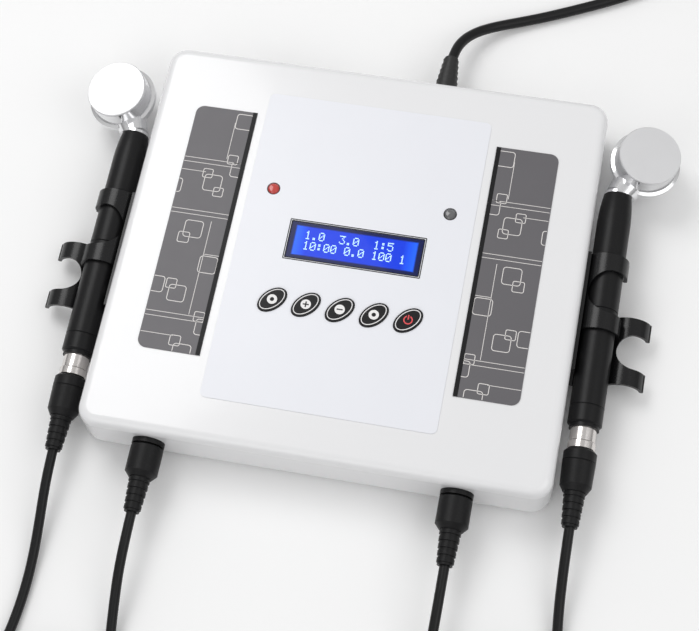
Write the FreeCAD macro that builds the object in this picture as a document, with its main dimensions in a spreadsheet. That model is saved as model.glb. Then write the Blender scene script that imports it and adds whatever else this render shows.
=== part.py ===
"""Ultrasound therapy unit: a bench-top console with two handpieces in side holders.

Frame: +X to the operator's right, +Y to the rear, +Z up, millimetres. The origin is on the bench,
under the middle of the console. Each handpiece and its holder are drawn in a holder frame of their
own: local +Y runs along the handle towards the head, and local z = 0 is the handle's axis.
"""

import FreeCAD, Part
import Sketcher
import math
import os

Vector = FreeCAD.Vector
Placement = FreeCAD.Placement
Rotation = FreeCAD.Rotation

doc = FreeCAD.newDocument("ultrasound_therapy_unit")
sheet = doc.addObject("Spreadsheet::Sheet", "Dims")


# ---------------------------------------------------------------- sizes with their expressions
class Size:
    """A size that knows its value and the spreadsheet expression that gives it."""

    def __init__(self, value, text):
        self.value = float(value)
        self.text = text

    @staticmethod
    def of(other):
        return other if isinstance(other, Size) else Size(other, f"({float(other)!r})")

    def __add__(self, other):
        other = Size.of(other)
        return Size(self.value + other.value, f"({self.text} + {other.text})")

    def __sub__(self, other):
        other = Size.of(other)
        return Size(self.value - other.value, f"({self.text} - {other.text})")

    def __mul__(self, other):
        other = Size.of(other)
        return Size(self.value * other.value, f"({self.text} * {other.text})")

    def __truediv__(self, other):
        other = Size.of(other)
        return Size(self.value / other.value, f"({self.text} / {other.text})")

    def __neg__(self):
        return Size(-self.value, f"(0 - {self.text})")

    def __radd__(self, other):
        return Size.of(other) + self

    def __rsub__(self, other):
        return Size.of(other) - self

    def __rmul__(self, other):
        return Size.of(other) * self


def size(alias, value, meaning):
    """Writes one driving dimension into the sheet and returns it as a Size."""
    size.row += 1
    sheet.set(f"A{size.row}", meaning)
    sheet.set(f"B{size.row}", str(value))
    sheet.setAlias(f"B{size.row}", alias)
    return Size(value, f"Dims.{alias}")


size.row = 0

# Console case
case_width = size("case_width", 236, "case, left to right")
case_depth = size("case_depth", 217, "case, front to rear")
case_height = size("case_height", 29, "case, underside to top")
foot_height = size("foot_height", 3, "rubber foot, height")
foot_radius = size("foot_radius", 7, "rubber foot, radius")
foot_inset = size("foot_inset", 30, "foot centre to case side")
wall = size("wall", 2.5, "case wall")
case_corner = size("case_corner", 10, "upright corner radius")
top_round = size("top_round", 5, "top edge radius")
bottom_round = size("bottom_round", 3, "bottom edge radius")
tray_height = size("tray_height", 6, "lower case, height")
boss_inset = size("boss_inset", 14, "screw boss centre to case side")
boss_radius = size("boss_radius", 4.5, "screw boss radius")
screw_radius = size("screw_radius", 1.45, "case screw, shank radius")
screw_head = size("screw_head", 2.8, "screw head radius")
head_depth = size("head_depth", 2, "screw head height")
screw_length = size("screw_length", 20, "case screw, length under the head")
thread_gap = size("thread_gap", 0.05, "radial gap of a screw in its pilot hole")
fit_gap = size("fit_gap", 0.25, "gap round a piece in its opening")

# Films and panels on the top face
film = size("film", 0.4, "thickness of the front film and side panels")
film_width = size("film_width", 118, "front film, width")
film_length = size("film_length", 172.8, "front film, length")
film_y = size("film_y", 0.6, "front film, centre")
film_corner = size("film_corner", 3, "front film, corner radius")
panel_width = size("panel_width", 32.6, "side panel, width")
panel_length = size("panel_length", 139, "side panel, length")
panel_x = size("panel_x", 79.8, "side panel, centre from the middle")
panel_y = size("panel_y", 4.5, "side panel, centre")
panel_corner = size("panel_corner", 4.5, "side panel, outer corner radius")

# Display
window_width = size("window_width", 68, "display window, width")
window_length = size("window_length", 20, "display window, length")
window_drop = size("window_drop", 0.2, "window below the film's top")
display_x = size("display_x", 1.6, "display centre")
display_y = size("display_y", 5.2, "display centre")
view_width = size("view_width", 64.5, "opening of the display's metal frame")
view_length = size("view_length", 15.6, "opening of the display's metal frame")
frame_width = size("frame_width", 71.2, "display's metal frame, width")
frame_length = size("frame_length", 25.4, "display's metal frame, length")
frame_depth = size("frame_depth", 3.6, "display's metal frame, depth")
frame_skin = size("frame_skin", 0.8, "display's metal frame, sheet")
glass_width = size("glass_width", 68.6, "display glass, width")
glass_length = size("glass_length", 22.6, "display glass, length")
board = size("board", 1.6, "circuit board thickness")
display_board_width = size("display_board_width", 80, "display board, width")
display_board_length = size("display_board_length", 36, "display board, length")
post_radius = size("post_radius", 1.6, "small mounting post")
post_inset = size("post_inset", 2.4, "post centre to board edge")

# Keys, lamps and their board
key_major = size("key_major", 8.15, "key cap, long half axis")
key_minor = size("key_minor", 5.15, "key cap, short half axis")
key_turn = size("key_turn", 45, "key cap, slant of its long axis")
key_pitch = size("key_pitch", 17.3, "key to key")
key_x = size("key_x", 0.6, "middle key")
key_y = size("key_y", -29.5, "row of keys")
key_rise = size("key_rise", 0.8, "key cap above the film")
key_lip = size("key_lip", 1, "key's retaining lip, width and thickness")
key_float = size("key_float", 0.2, "lip below the case's top wall at rest")
key_travel = size("key_travel", 0.5, "key travel")
key_stem = size("key_stem", 2, "key's stem radius")
switch_body = size("switch_body", 6, "tact switch, side")
switch_height = size("switch_height", 4, "tact switch body, height")
switch_plunger = size("switch_plunger", 1.7, "tact switch plunger radius")
plunger_gap = size("plunger_gap", 0.1, "stem to plunger with the key down")
lamp_radius = size("lamp_radius", 2.9, "indicator lamp radius")
lamp_rise = size("lamp_rise", 1.2, "lamp dome above the film")
lamp_left_x = size("lamp_left_x", -46.1, "left lamp")
lamp_left_y = size("lamp_left_y", 31.8, "left lamp")
lamp_right_x = size("lamp_right_x", 46.1, "right lamp")
lamp_right_y = size("lamp_right_y", 31.8, "right lamp")
keypad_width = size("keypad_width", 118, "keypad board, width")
keypad_length = size("keypad_length", 92, "keypad board, length")
keypad_depth = size("keypad_depth", 7.5, "keypad board's top below the case's top wall")

# Main board and transformer
main_width = size("main_width", 150, "main board, width")
main_length = size("main_length", 84, "main board, length")
main_y = size("main_y", -40, "main board, centre")
standoff_height = size("standoff_height", 6, "main board above the floor")
core_width = size("core_width", 40, "transformer core, width")
core_length = size("core_length", 24, "transformer core, length")
core_height = size("core_height", 18, "transformer core, height")
core_x = size("core_x", -55, "transformer, centre")
core_y = size("core_y", 71, "transformer, centre")
core_limb = size("core_limb", 5, "transformer core, outer limb")
winding_gap = size("winding_gap", 0.3, "winding to core")

# Sockets and plugs on the front
fitting_reach = size("fitting_reach", 2.5, "how far fixed fittings stand off the case")
jack_z = size("jack_z", 17.5, "axis of the front sockets")
jack_left_x = size("jack_left_x", -81.6, "left socket")
jack_right_x = size("jack_right_x", 73, "right socket")
jack_flange = size("jack_flange", 8.2, "socket flange radius")
jack_barrel = size("jack_barrel", 5.8, "socket barrel radius")
jack_bore = size("jack_bore", 4.5, "socket bore radius")
jack_length = size("jack_length", 15, "socket barrel, length behind the case's front")
jack_nut = size("jack_nut", 7.6, "socket's nut radius")
plug_clear = size("plug_clear", 0.3, "clearance of parts that slide in each other")
plug_body = size("plug_body", 8.2, "front plug body radius")
plug_body_length = size("plug_body_length", 16.5, "front plug body, length")
plug_pin = size("plug_pin", 12.4, "front plug's pin, length")
plug_travel = size("plug_travel", 13, "travel that pulls a front plug out")
relief_root = size("relief_root", 5.3, "ribbed strain relief, root radius")
relief_tip = size("relief_tip", 4.1, "ribbed strain relief, tip radius")
relief_length = size("relief_length", 17.4, "ribbed strain relief, length")
relief_neck = size("relief_neck", 0.55, "depth of the strain relief's grooves")
lead_radius = size("lead_radius", 2.5, "handpiece lead radius")
lead_grip = size("lead_grip", 2.7, "lead inside the front plug")

# Handpiece
tilt = size("tilt", 1, "handle's slope, head end up, degrees")
holder_y = size("holder_y", 2.6, "middle of the handle clip")
holder_stagger = size("holder_stagger", 2.3, "right clip behind, left clip before the middle")
holder_z = size("holder_z", 17.5, "handle axis at the middle of the clip")
grip_radius = size("grip_radius", 8.6, "handle radius")
grip_neck = size("grip_neck", 7.2, "handle radius at the head")
grip_end = size("grip_end", 57, "handle's head end")
grip_swell = size("grip_swell", 42, "where the handle reaches its full radius")
grip_joint = size("grip_joint", 18.7, "joint of grip and barrel")
grip_bore = size("grip_bore", 5.2, "bore of the handle")
barrel_end = size("barrel_end", -69, "end of the barrel's full radius")
barrel_collar = size("barrel_collar", 7.5, "collar radius at the tail")
tail_face = size("tail_face", -70.9, "handle's tail face")
groove = size("groove", 0.3, "depth and half width of the fine grooves")
spigot_length = size("spigot_length", 8, "metal spigots inside the handle")
ferrule_radius = size("ferrule_radius", 6.5, "tail socket radius")
ferrule_end = size("ferrule_end", -77.6, "tail socket's shoulder")
nose_radius = size("nose_radius", 4.4, "threaded nose radius")
nose_length = size("nose_length", 2.6, "threaded nose, length")
nut_radius = size("nut_radius", 7, "coupling nut radius")
nut_gap = size("nut_gap", 0.2, "end gap of the coupling nut")
nut_length = size("nut_length", 4, "coupling nut, length")
cable_plug_radius = size("cable_plug_radius", 8.25, "cable plug radius")
cable_plug_length = size("cable_plug_length", 21.3, "cable plug, length")

# Head of the handpiece
head_x = size("head_x", 11.3, "flange ring centre, outboard of the handle axis")
head_y = size("head_y", 77.6, "flange ring centre along the handle")
head_z = size("head_z", 0, "flange ring centre above the handle axis")
head_out = size("head_out", 8.5, "head's lean outboard, degrees")
head_back = size("head_back", 2.3, "head's lean towards the handle, degrees")
face_radius = size("face_radius", 16.0, "sound head's face radius")
face_height = size("face_height", 13, "face above the flange ring's middle")
face_skin = size("face_skin", 1.5, "face plate thickness")
skirt_radius = size("skirt_radius", 16.6, "sound head's side, radius at the ring")
ring_radius = size("ring_radius", 18.2, "flange ring radius")
ring_height = size("ring_height", 2.4, "flange ring, height")
dome_depth = size("dome_depth", 9.5, "domed back below the ring")
head_bore = size("head_bore", 13.6, "cavity behind the face")
piezo_radius = size("piezo_radius", 13.2, "ceramic disc radius")
piezo_skin = size("piezo_skin", 2, "ceramic disc thickness")
neck_root = size("neck_root", 7.0, "neck radius at the handle")
neck_head = size("neck_head", 11, "neck radius in the head")

# Holder
clip_bore = size("clip_bore", 8.9, "handle clip, inner radius")
clip_wall = size("clip_wall", 1.8, "holder's wall")
clip_length = size("clip_length", 41, "handle clip, length")
clip_finger = size("clip_finger", 9.1, "width of a clip finger")
clip_tip = size("clip_tip", -12, "handle clip, angle of the finger tips")
clip_lip = size("clip_lip", 282, "handle clip, angle of the lower lip")
clip_notch = size("clip_notch", 8, "closed end of the notch from the clip axis")
hook_x = size("hook_x", 16, "spare hook axis, outboard of the handle axis")
hook_z = size("hook_z", -12.5, "spare hook axis, above the handle axis")
hook_y = size("hook_y", -25.5, "spare hook, middle along the handle")
hook_bore = size("hook_bore", 8.9, "spare hook, inner radius")
hook_wall = size("hook_wall", 1.7, "spare hook, wall")
hook_length = size("hook_length", 36, "spare hook, length")
hook_finger = size("hook_finger", 8.9, "width of a hook finger")
hook_tip = size("hook_tip", 18, "spare hook, angle of the finger tips")
hook_notch = size("hook_notch", 5.6, "closed end of the notch from the hook axis")
shelf_z = size("shelf_z", -15.8, "holder's shelf, underside")
shelf = size("shelf", 2, "holder's shelf, thickness")
holder_screw_y = size("holder_screw_y", -34, "holder's screws, place along the handle")
holder_screw_low = size("holder_screw_low", -2.5, "holder's lower screw, above the handle axis")
holder_screw_high = size("holder_screw_high", 5.5, "holder's upper screw, above the handle axis")
holder_screw_length = size("holder_screw_length", 8, "holder screw, length under the head")
holder_head_depth = size("holder_head_depth", 1, "holder screw's head")

# Rear: mains lead, switch and fuse
gland_x = size("gland_x", 30, "mains gland")
gland_z = size("gland_z", 16, "mains gland")
gland_root = size("gland_root", 6.5, "mains strain relief, root radius")
gland_tip = size("gland_tip", 3.9, "mains strain relief, tip radius")
gland_length = size("gland_length", 23.5, "mains strain relief, length")
mains_radius = size("mains_radius", 2.8, "mains lead radius")
rocker_x = size("rocker_x", -64, "rocker switch")
rocker_z = size("rocker_z", 17, "rocker switch")
rocker_width = size("rocker_width", 13, "rocker paddle, width")
rocker_length = size("rocker_length", 13, "rocker paddle, height")
rocker_bezel = size("rocker_bezel", 2, "rocker frame round the paddle")
rocker_swing = size("rocker_swing", 8, "rocker's swing each way, degrees")
rocker_gap = size("rocker_gap", 0.35, "paddle to frame")
fuse_x = size("fuse_x", -38, "fuse holder")
fuse_radius = size("fuse_radius", 6.2, "fuse holder cap radius")

# Put-away coils of the leads and of the mains lead
coil_inner = size("coil_inner", 19.3, "lead coil, inner radius")
coil_outer = size("coil_outer", 35.1, "lead coil, outer radius")
coil_height = size("coil_height", 15.2, "lead coil, height")
mains_coil_inner = size("mains_coil_inner", 21.8, "mains coil, inner radius")
mains_coil_outer = size("mains_coil_outer", 39.3, "mains coil, outer radius")
mains_coil_height = size("mains_coil_height", 17, "mains coil, height")
bench_gap = size("bench_gap", 0.1, "cord above the bench")

doc.recompute()

# ---------------------------------------------------------------- places that many pieces share
base_z = foot_height
seam_z = foot_height + tray_height
top_z = foot_height + case_height
ceiling_z = top_z - wall
front_y = -(case_depth / 2)
rear_y = case_depth / 2
side_x = case_width / 2
holder_x = side_x + clip_wall + clip_bore

UP = Rotation()
ALONG_Y = Rotation(Vector(1, 0, 0), -90)
ALONG_X = Rotation(Vector(0, 1, 0), 90)

nodes = []
check_volumes = []


# ---------------------------------------------------------------- helpers
def bind(item, **sizes):
    """Binds properties of item to sizes; a double underscore in a name stands for a dot."""
    for name, value in sizes.items():
        item.setExpression(name.replace("__", "."), Size.of(value).text)
    return item


def stand(item, x=0, y=0, z=0, turn=UP):
    """Puts item at x, y, z, turned by a fixed rotation."""
    item.Placement = Placement(Vector(), turn)
    return bind(item, Placement__Base__x=x, Placement__Base__y=y, Placement__Base__z=z)


def block(name, length, width, height, x, y, z):
    """A box with its middle at x, y and its underside at z."""
    item = doc.addObject("Part::Box", name)
    bind(item, Length=length, Width=width, Height=height)
    return stand(item, Size.of(x) - Size.of(length) / 2, Size.of(y) - Size.of(width) / 2, z)


def rod(name, radius, height, x, y, z, turn=UP):
    """A cylinder from x, y, z along its turned axis."""
    item = doc.addObject("Part::Cylinder", name)
    bind(item, Radius=radius, Height=height)
    return stand(item, x, y, z, turn)


def fuse(name, *pieces):
    item = doc.addObject("Part::MultiFuse", name)
    item.Shapes = list(pieces)
    return item


def cut(name, base, *tools):
    item = doc.addObject("Part::Cut", name)
    item.Base = base
    item.Tool = tools[0] if len(tools) == 1 else fuse(name + "_tools", *tools)
    return item


def origin_plane(body, role):
    return next(f for f in body.Origin.OriginFeatures if f.Role == role)


def outline(body, plane, points, name):
    """A closed sketch of straight lines, each corner bound to its own two sizes."""
    sketch = body.newObject("Sketcher::SketchObject", name)
    sketch.AttachmentSupport = [(origin_plane(body, plane), "")]
    sketch.MapMode = "FlatFace"
    corners = [(Size.of(u), Size.of(v)) for u, v in points]
    count = len(corners)
    for i in range(count):
        (u0, v0), (u1, v1) = corners[i], corners[(i + 1) % count]
        start = Vector(u0.value, v0.value, 0)
        sketch.addGeometry(Part.LineSegment(start, Vector(u1.value, v1.value, 0)), False)
    for i in range(count):
        sketch.addConstraint(Sketcher.Constraint("Coincident", i, 2, (i + 1) % count, 1))
    for i, pair in enumerate(corners):
        for kind, axis, where in (("DistanceX", -2, pair[0]), ("DistanceY", -1, pair[1])):
            if where.value == 0:
                sketch.addConstraint(Sketcher.Constraint("PointOnObject", i, 1, axis))
                continue
            row = sketch.addConstraint(Sketcher.Constraint(kind, -1, 1, i, 1, where.value))
            sketch.setExpression(f"Constraints[{row}]", where.text)
    return sketch


def body_named(name):
    return doc.addObject("PartDesign::Body", name)


def turned(name, profile, plane="XY_Plane"):
    """A solid of revolution from (radius, place) pairs: about Y on XY_Plane, about Z on XZ_Plane."""
    body = body_named(name)
    sketch = outline(body, plane, profile, name + "_profile")
    spin = body.newObject("PartDesign::Revolution", name + "_turn")
    spin.Profile = sketch
    spin.ReferenceAxis = (sketch, ["V_Axis"])
    spin.Angle = 360
    sketch.Visibility = False
    return body


def edges_where(shape, test):
    return [f"Edge{i + 1}" for i, edge in enumerate(shape.Edges) if test(edge)]


def is_upright(edge):
    low, high = edge.Vertexes[0].Point, edge.Vertexes[-1].Point
    return abs(low.x - high.x) < 1e-6 and abs(low.y - high.y) < 1e-6 and abs(low.z - high.z) > 1e-6


def rounded(body, base, names, radius, label):
    item = body.newObject("PartDesign::Fillet", label)
    item.Base = (base, names)
    bind(item, Radius=radius)
    doc.recompute()
    return item


def plate(name, width, length, height, x, y, z, corner=None, only=None, crown=None, hem=None):
    """A padded rectangle with rounded upright corners; crown rounds its top rim, hem its bottom rim."""
    body = body_named(name)
    half_u, half_v = Size.of(width) / 2, Size.of(length) / 2
    corners = [(-half_u, -half_v), (half_u, -half_v), (half_u, half_v), (-half_u, half_v)]
    sketch = outline(body, "XY_Plane", corners, name + "_outline")
    pad = body.newObject("PartDesign::Pad", name + "_pad")
    pad.Profile = sketch
    bind(pad, Length=height)
    sketch.Visibility = False
    doc.recompute()
    last = pad
    if corner is not None:
        upright = edges_where(
            last.Shape, lambda e: is_upright(e) and (only is None or e.Vertexes[0].Point.x * only > 0)
        )
        last = rounded(body, last, upright, corner, name + "_corners")
    for radius, end in ((crown, "top"), (hem, "bottom")):
        if radius is None:
            continue
        level = Size.of(height).value if end == "top" else 0.0
        rim = edges_where(last.Shape, lambda e: all(abs(v.Point.z - level) < 1e-6 for v in e.Vertexes))
        last = rounded(body, last, rim, radius, f"{name}_{end}_rim")
    return stand(body, x, y, z)


def oval(name, major, minor, height, x, y, z):
    """An upright prism of elliptical section, slanted by key_turn in plan."""
    ring = doc.addObject("Part::Ellipse", name + "_ring")
    bind(ring, MajorRadius=major, MinorRadius=minor)
    item = doc.addObject("Part::Extrusion", name)
    item.Base = ring
    item.DirMode = "Custom"
    item.Dir = Vector(0, 0, 1)
    item.Solid = True
    bind(item, LengthFwd=height)
    return stand(item, x, y, z, Rotation(Vector(0, 0, 1), key_turn.value))


def keep(name, item):
    """Marks item as one of the object's own pieces."""
    item.Label = name
    nodes.append((name, item))
    return item


def keep_shape(name, shape):
    """A piece whose shape is made with Part's own functions."""
    item = doc.addObject("Part::Feature", name)
    item.Shape = shape
    return keep(name, item)


# ---------------------------------------------------------------- console case
def at_corners(inset):
    """The four places that lie inset from the case's sides."""
    for sx in (-1, 1):
        for sy in (-1, 1):
            yield (side_x - inset) * sx, (rear_y - inset) * sy


def holder_frame(side):
    """The holder frame of one side, -1 left or 1 right."""
    shift = holder_y.value + side * holder_stagger.value
    return Placement(
        Vector(side * holder_x.value, shift, holder_z.value), Rotation(Vector(1, 0, 0), tilt.value)
    )


def seat_in_holder(item, side):
    """Moves a piece drawn in the holder frame to its side of the console."""
    item.Placement = Placement(Vector(), Rotation(Vector(1, 0, 0), tilt.value))
    return bind(
        item,
        Placement__Base__x=holder_x * side,
        Placement__Base__y=holder_y + holder_stagger * side,
        Placement__Base__z=holder_z,
        Placement__Rotation__Angle=tilt,
    )


def holder_screw_rods(name, side, radius, start, length):
    """One rod at each holder screw, across the case wall, from start outboard of the case side."""
    rods = []
    for i, z in enumerate((holder_screw_low, holder_screw_high)):
        middle = holder_frame(side).multVec(Vector(0, holder_screw_y.value, z.value))
        inner = side_x + Size.of(start)
        x = inner if side > 0 else -(inner + length)
        rods.append(rod(f"{name}_{i}", radius, length, x, middle.y, middle.z, ALONG_X))
    return rods


def lower_case():
    outer = plate("tray_outer", case_width, case_depth, tray_height, 0, 0, base_z,
                  corner=case_corner, hem=bottom_round)
    room = plate("tray_room", case_width - wall * 2, case_depth - wall * 2, tray_height,
                 0, 0, base_z + wall, corner=case_corner - wall)
    shell = cut("tray_shell", outer, room)
    posts, holes = [], []
    for i, (x, y) in enumerate(at_corners(boss_inset)):
        posts.append(rod(f"tray_boss_{i}", boss_radius, tray_height - wall / 2, x, y, base_z + wall / 2))
        holes.append(rod(f"tray_hole_{i}", screw_radius + fit_gap, tray_height, x, y, base_z))
        holes.append(rod(f"tray_sink_{i}", screw_head + fit_gap, head_depth * 2, x, y, base_z))
    for i, (sx, sy) in enumerate(((-1, -1), (-1, 1), (1, -1), (1, 1))):
        x = (main_width / 2 - post_inset * 2) * sx
        y = main_y + (main_length / 2 - post_inset * 2) * sy
        posts.append(rod(f"standoff_{i}", post_radius * 2, standoff_height + wall / 2, x, y, base_z + wall / 2))
    keep("lower_case", cut("lower_case_solid", fuse("tray_with_posts", shell, *posts), *holes))


def upper_case():
    height = case_height - tray_height
    outer = plate("cover_outer", case_width, case_depth, height, 0, 0, seam_z,
                  corner=case_corner, crown=top_round)
    room = plate("cover_room", case_width - wall * 2, case_depth - wall * 2, height - wall,
                 0, 0, seam_z, corner=case_corner - wall, crown=top_round - wall)
    shell = cut("cover_shell", outer, room)
    posts, holes = [], []
    for i, (x, y) in enumerate(at_corners(boss_inset)):
        posts.append(rod(f"column_{i}", boss_radius, height - wall / 2, x, y, seam_z))
        depth = screw_length - (tray_height - head_depth * 2) + 1
        holes.append(rod(f"pilot_{i}", screw_radius + thread_gap, depth, x, y, seam_z))
    for i, (sx, sy) in enumerate(((-1, -1), (-1, 1), (1, -1), (1, 1))):
        x = display_x + (display_board_width / 2 - post_inset) * sx
        y = display_y + (display_board_length / 2 - post_inset) * sy
        posts.append(rod(f"display_post_{i}", post_radius, frame_depth + wall / 2, x, y, ceiling_z - frame_depth))
        x = display_x + (keypad_width / 2 - post_inset) * sx
        y = (keypad_length / 2 - post_inset) * sy
        posts.append(rod(f"keypad_post_{i}", post_radius, keypad_depth + wall / 2, x, y, ceiling_z - keypad_depth))
    holes += top_openings("cover", ceiling_z - 1, wall + 2)
    for tag, x in (("left", jack_left_x), ("right", jack_right_x)):
        holes.append(rod(f"jack_hole_{tag}", jack_barrel + fit_gap, wall * 3, x, front_y - wall, jack_z, ALONG_Y))
    holes.append(rod("fuse_hole", fuse_radius - 1 + fit_gap, wall * 3, fuse_x, rear_y - wall * 2, rocker_z, ALONG_Y))
    holes.append(rod("gland_hole", gland_root - 1 + fit_gap, wall * 3, gland_x, rear_y - wall * 2, gland_z, ALONG_Y))
    holes.append(block("rocker_hole", rocker_width + rocker_bezel * 2 - 1, wall * 3,
                       rocker_length + rocker_bezel * 2 - 1, rocker_x, rear_y,
                       rocker_z - rocker_length / 2 - rocker_bezel + 0.5))
    for side in (-1, 1):
        holes += holder_screw_rods(f"wall_hole_{side}", side, screw_radius + thread_gap, -wall * 2, wall * 3)
    keep("upper_case", cut("upper_case_solid", fuse("cover_with_posts", shell, *posts), *holes))


def top_openings(name, z, height):
    """Tools for what passes through the top wall and the film: display, keys and lamps."""
    tools = [block(f"{name}_display", window_width + fit_gap * 2, window_length + fit_gap * 2, height,
                   display_x, display_y, z)]
    for i in range(5):
        tools.append(oval(f"{name}_key_{i}", key_major + fit_gap, key_minor + fit_gap, height,
                          key_x + key_pitch * (i - 2), key_y, z))
    for i, (x, y) in enumerate(((lamp_left_x, lamp_left_y), (lamp_right_x, lamp_right_y))):
        tools.append(rod(f"{name}_lamp_{i}", lamp_radius + fit_gap, height, x, y, z))
    return tools


def fasteners():
    screws, feet = [], []
    for i, (x, y) in enumerate(at_corners(boss_inset)):
        under = base_z + head_depth * 2
        head = rod(f"screw_head_{i}", screw_head, head_depth, x, y, under - head_depth)
        shank = rod(f"screw_shank_{i}", screw_radius, screw_length, x, y, under)
        screws.append(fuse(f"screw_{i}", head, shank))
    for i, (x, y) in enumerate(at_corners(foot_inset)):
        feet.append(turned_foot(i, x, y))
    keep("case_screws", group("case_screws_group", screws))
    keep("feet", group("feet_group", feet))


def group(name, items):
    item = doc.addObject("Part::Compound", name)
    item.Links = list(items)
    return item


def turned_foot(i, x, y):
    edge = foot_radius - 0.8
    profile = [(0, 0), (edge, 0), (foot_radius, 0.8), (foot_radius, foot_height), (0, foot_height)]
    return stand(turned(f"foot_{i}", profile, "XZ_Plane"), x, y, 0)


# ---------------------------------------------------------------- top face
def top_face():
    sheet_film = plate("film_sheet", film_width, film_length, film, 0, film_y, top_z, corner=film_corner)
    keep("front_film", cut("front_film_solid", sheet_film, *top_openings("film", top_z - 1, film + 2)))
    for tag, side in (("left", -1), ("right", 1)):
        keep(f"side_panel_{tag}", plate(f"side_panel_{tag}_body", panel_width, panel_length, film,
                                        panel_x * side, panel_y, top_z, corner=panel_corner, only=side))


def display():
    window_z = ceiling_z
    height = wall + film - window_drop
    keep("display_window", block("window_pane", window_width, window_length, height, display_x, display_y, window_z))
    frame_z = ceiling_z - frame_depth
    can = block("frame_can", frame_width, frame_length, frame_depth, display_x, display_y, frame_z)
    view = block("frame_view", view_width, view_length, frame_depth + 2, display_x, display_y, frame_z - 1)
    seat = block("frame_seat", glass_width + fit_gap * 2, glass_length + fit_gap * 2,
                 frame_depth - frame_skin + 1, display_x, display_y, frame_z - 1)
    keep("display_frame", cut("display_frame_solid", can, view, seat))
    keep("display_glass", block("display_cell", glass_width, glass_length, frame_depth - frame_skin,
                                display_x, display_y, frame_z))
    keep("display_board", block("display_board_sheet", display_board_width, display_board_length, board,
                                display_x, display_y, frame_z - board))


def keys_and_lamps():
    lip_top = ceiling_z - key_float
    lip_low = lip_top - key_lip
    board_top = ceiling_z - keypad_depth
    switch_top = lip_low - key_travel - plunger_gap
    switches = []
    for i, name in enumerate(("key_mode", "key_plus", "key_minus", "key_pulse", "key_start")):
        x = key_x + key_pitch * (i - 2)
        cap = oval(f"{name}_cap", key_major, key_minor, top_z + film + key_rise - lip_top, x, key_y, lip_top)
        lip = oval(f"{name}_lip", key_major + key_lip, key_minor + key_lip, key_lip, x, key_y, lip_low)
        keep(name, fuse(f"{name}_solid", cap, lip))
        can = block(f"switch_can_{i}", switch_body, switch_body, switch_height, x, key_y, board_top)
        plunger = rod(f"switch_plunger_{i}", switch_plunger, switch_top - board_top, x, key_y, board_top)
        switches.append(fuse(f"switch_{i}", can, plunger))
    keep("tact_switches", group("tact_switch_group", switches))
    keep("keypad_board", block("keypad_sheet", keypad_width, keypad_length, board, display_x, 0, board_top - board))
    tip = top_z + film + lamp_rise - board_top
    brow = top_z + film - board_top
    half = lamp_radius * 0.7
    profile = [(0, 0), (lamp_radius, 0), (lamp_radius, brow), (half, tip - lamp_rise * 0.3), (0, tip)]
    for name, x, y in (("lamp_red", lamp_left_x, lamp_left_y), ("lamp_grey", lamp_right_x, lamp_right_y)):
        keep(name, stand(turned(name + "_lens", profile, "XZ_Plane"), x, y, board_top))


# ---------------------------------------------------------------- inside
def inside():
    floor_z = base_z + wall
    keep("main_board", block("main_sheet", main_width, main_length, board, 0, main_y, floor_z + standoff_height))
    core = block("core_block", core_width, core_length, core_height, core_x, core_y, floor_z)
    slots = []
    for side in (-1, 1):
        offset = (core_width / 2 - core_limb) / 2 + core_limb / 4
        slots.append(block(f"core_slot_{side}", core_width / 2 - core_limb * 1.5, core_length + 2,
                           core_height - core_limb * 2, core_x + offset * side, core_y, floor_z + core_limb))
    keep("transformer_core", cut("core_solid", core, *slots))
    room = core_width / 2 - core_limb * 1.5 - winding_gap * 2
    drum_width = core_limb + (winding_gap + room) * 2
    drum_height = core_height - core_limb * 2 - winding_gap * 2
    drum = block("winding_drum", drum_width, core_length + room * 2, drum_height, core_x, core_y,
                 floor_z + core_limb + winding_gap)
    limb = block("winding_limb", core_limb + winding_gap * 2, core_length + winding_gap * 2, drum_height + 2,
                 core_x, core_y, floor_z + core_limb + winding_gap - 1)
    keep("transformer_winding", cut("winding_solid", drum, limb))


# ---------------------------------------------------------------- front sockets and plugs
def relief_profile(root_y, side, inner):
    """The ribbed strain relief's outline from root_y, running to side (-1 or 1) times relief_length."""
    ribs = 5
    points = []
    for i in range(ribs):
        share = i / ribs
        outer = relief_root - (relief_root - relief_tip) * share
        step = relief_length / ribs
        start = root_y + step * i * side
        points += [(outer, start), (outer, start + step * 0.62 * side),
                   (outer - relief_neck, start + step * 0.62 * side), (outer - relief_neck, start + step * side)]
    end = root_y + relief_length * side
    points += [(inner, end)]
    return points


def sockets_and_plugs():
    lip_y = front_y - fitting_reach
    for tag, x in (("left", jack_left_x), ("right", jack_right_x)):
        nut_y = front_y + wall
        end_y = front_y + jack_length
        profile = [(jack_bore, lip_y), (jack_flange, lip_y), (jack_flange, front_y), (jack_barrel, front_y),
                   (jack_barrel, nut_y), (jack_nut, nut_y), (jack_nut, nut_y + 2), (jack_barrel, nut_y + 2),
                   (jack_barrel, end_y), (0, end_y), (0, end_y - 1.5), (jack_bore, end_y - 1.5)]
        keep(f"output_socket_{tag}", stand(turned(f"socket_{tag}", profile), x, 0, jack_z))
        face = lip_y - plug_clear
        root = face - plug_body_length
        pin = jack_bore - plug_clear
        hole = lead_radius + plug_clear
        tip = root - relief_length
        profile = [(0, face + plug_pin), (pin, face + plug_pin), (pin, face), (plug_body - 0.8, face),
                   (plug_body, face - 0.8), (plug_body, root + 2.6), (relief_root + 0.6, root)]
        profile += relief_profile(root, -1, hole)
        profile += [(hole, tip + lead_grip + plug_travel + 2), (0, tip + lead_grip + plug_travel + 2)]
        keep(f"lead_plug_{tag}", stand(turned(f"front_plug_{tag}", profile), x, 0, jack_z))


# ---------------------------------------------------------------- handpieces, in the holder frame
def grooved(radius, middle):
    """A fine groove round a handle, in the order of falling y."""
    return [(radius, middle + groove), (radius - groove, middle), (radius, middle - groove)]


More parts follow.
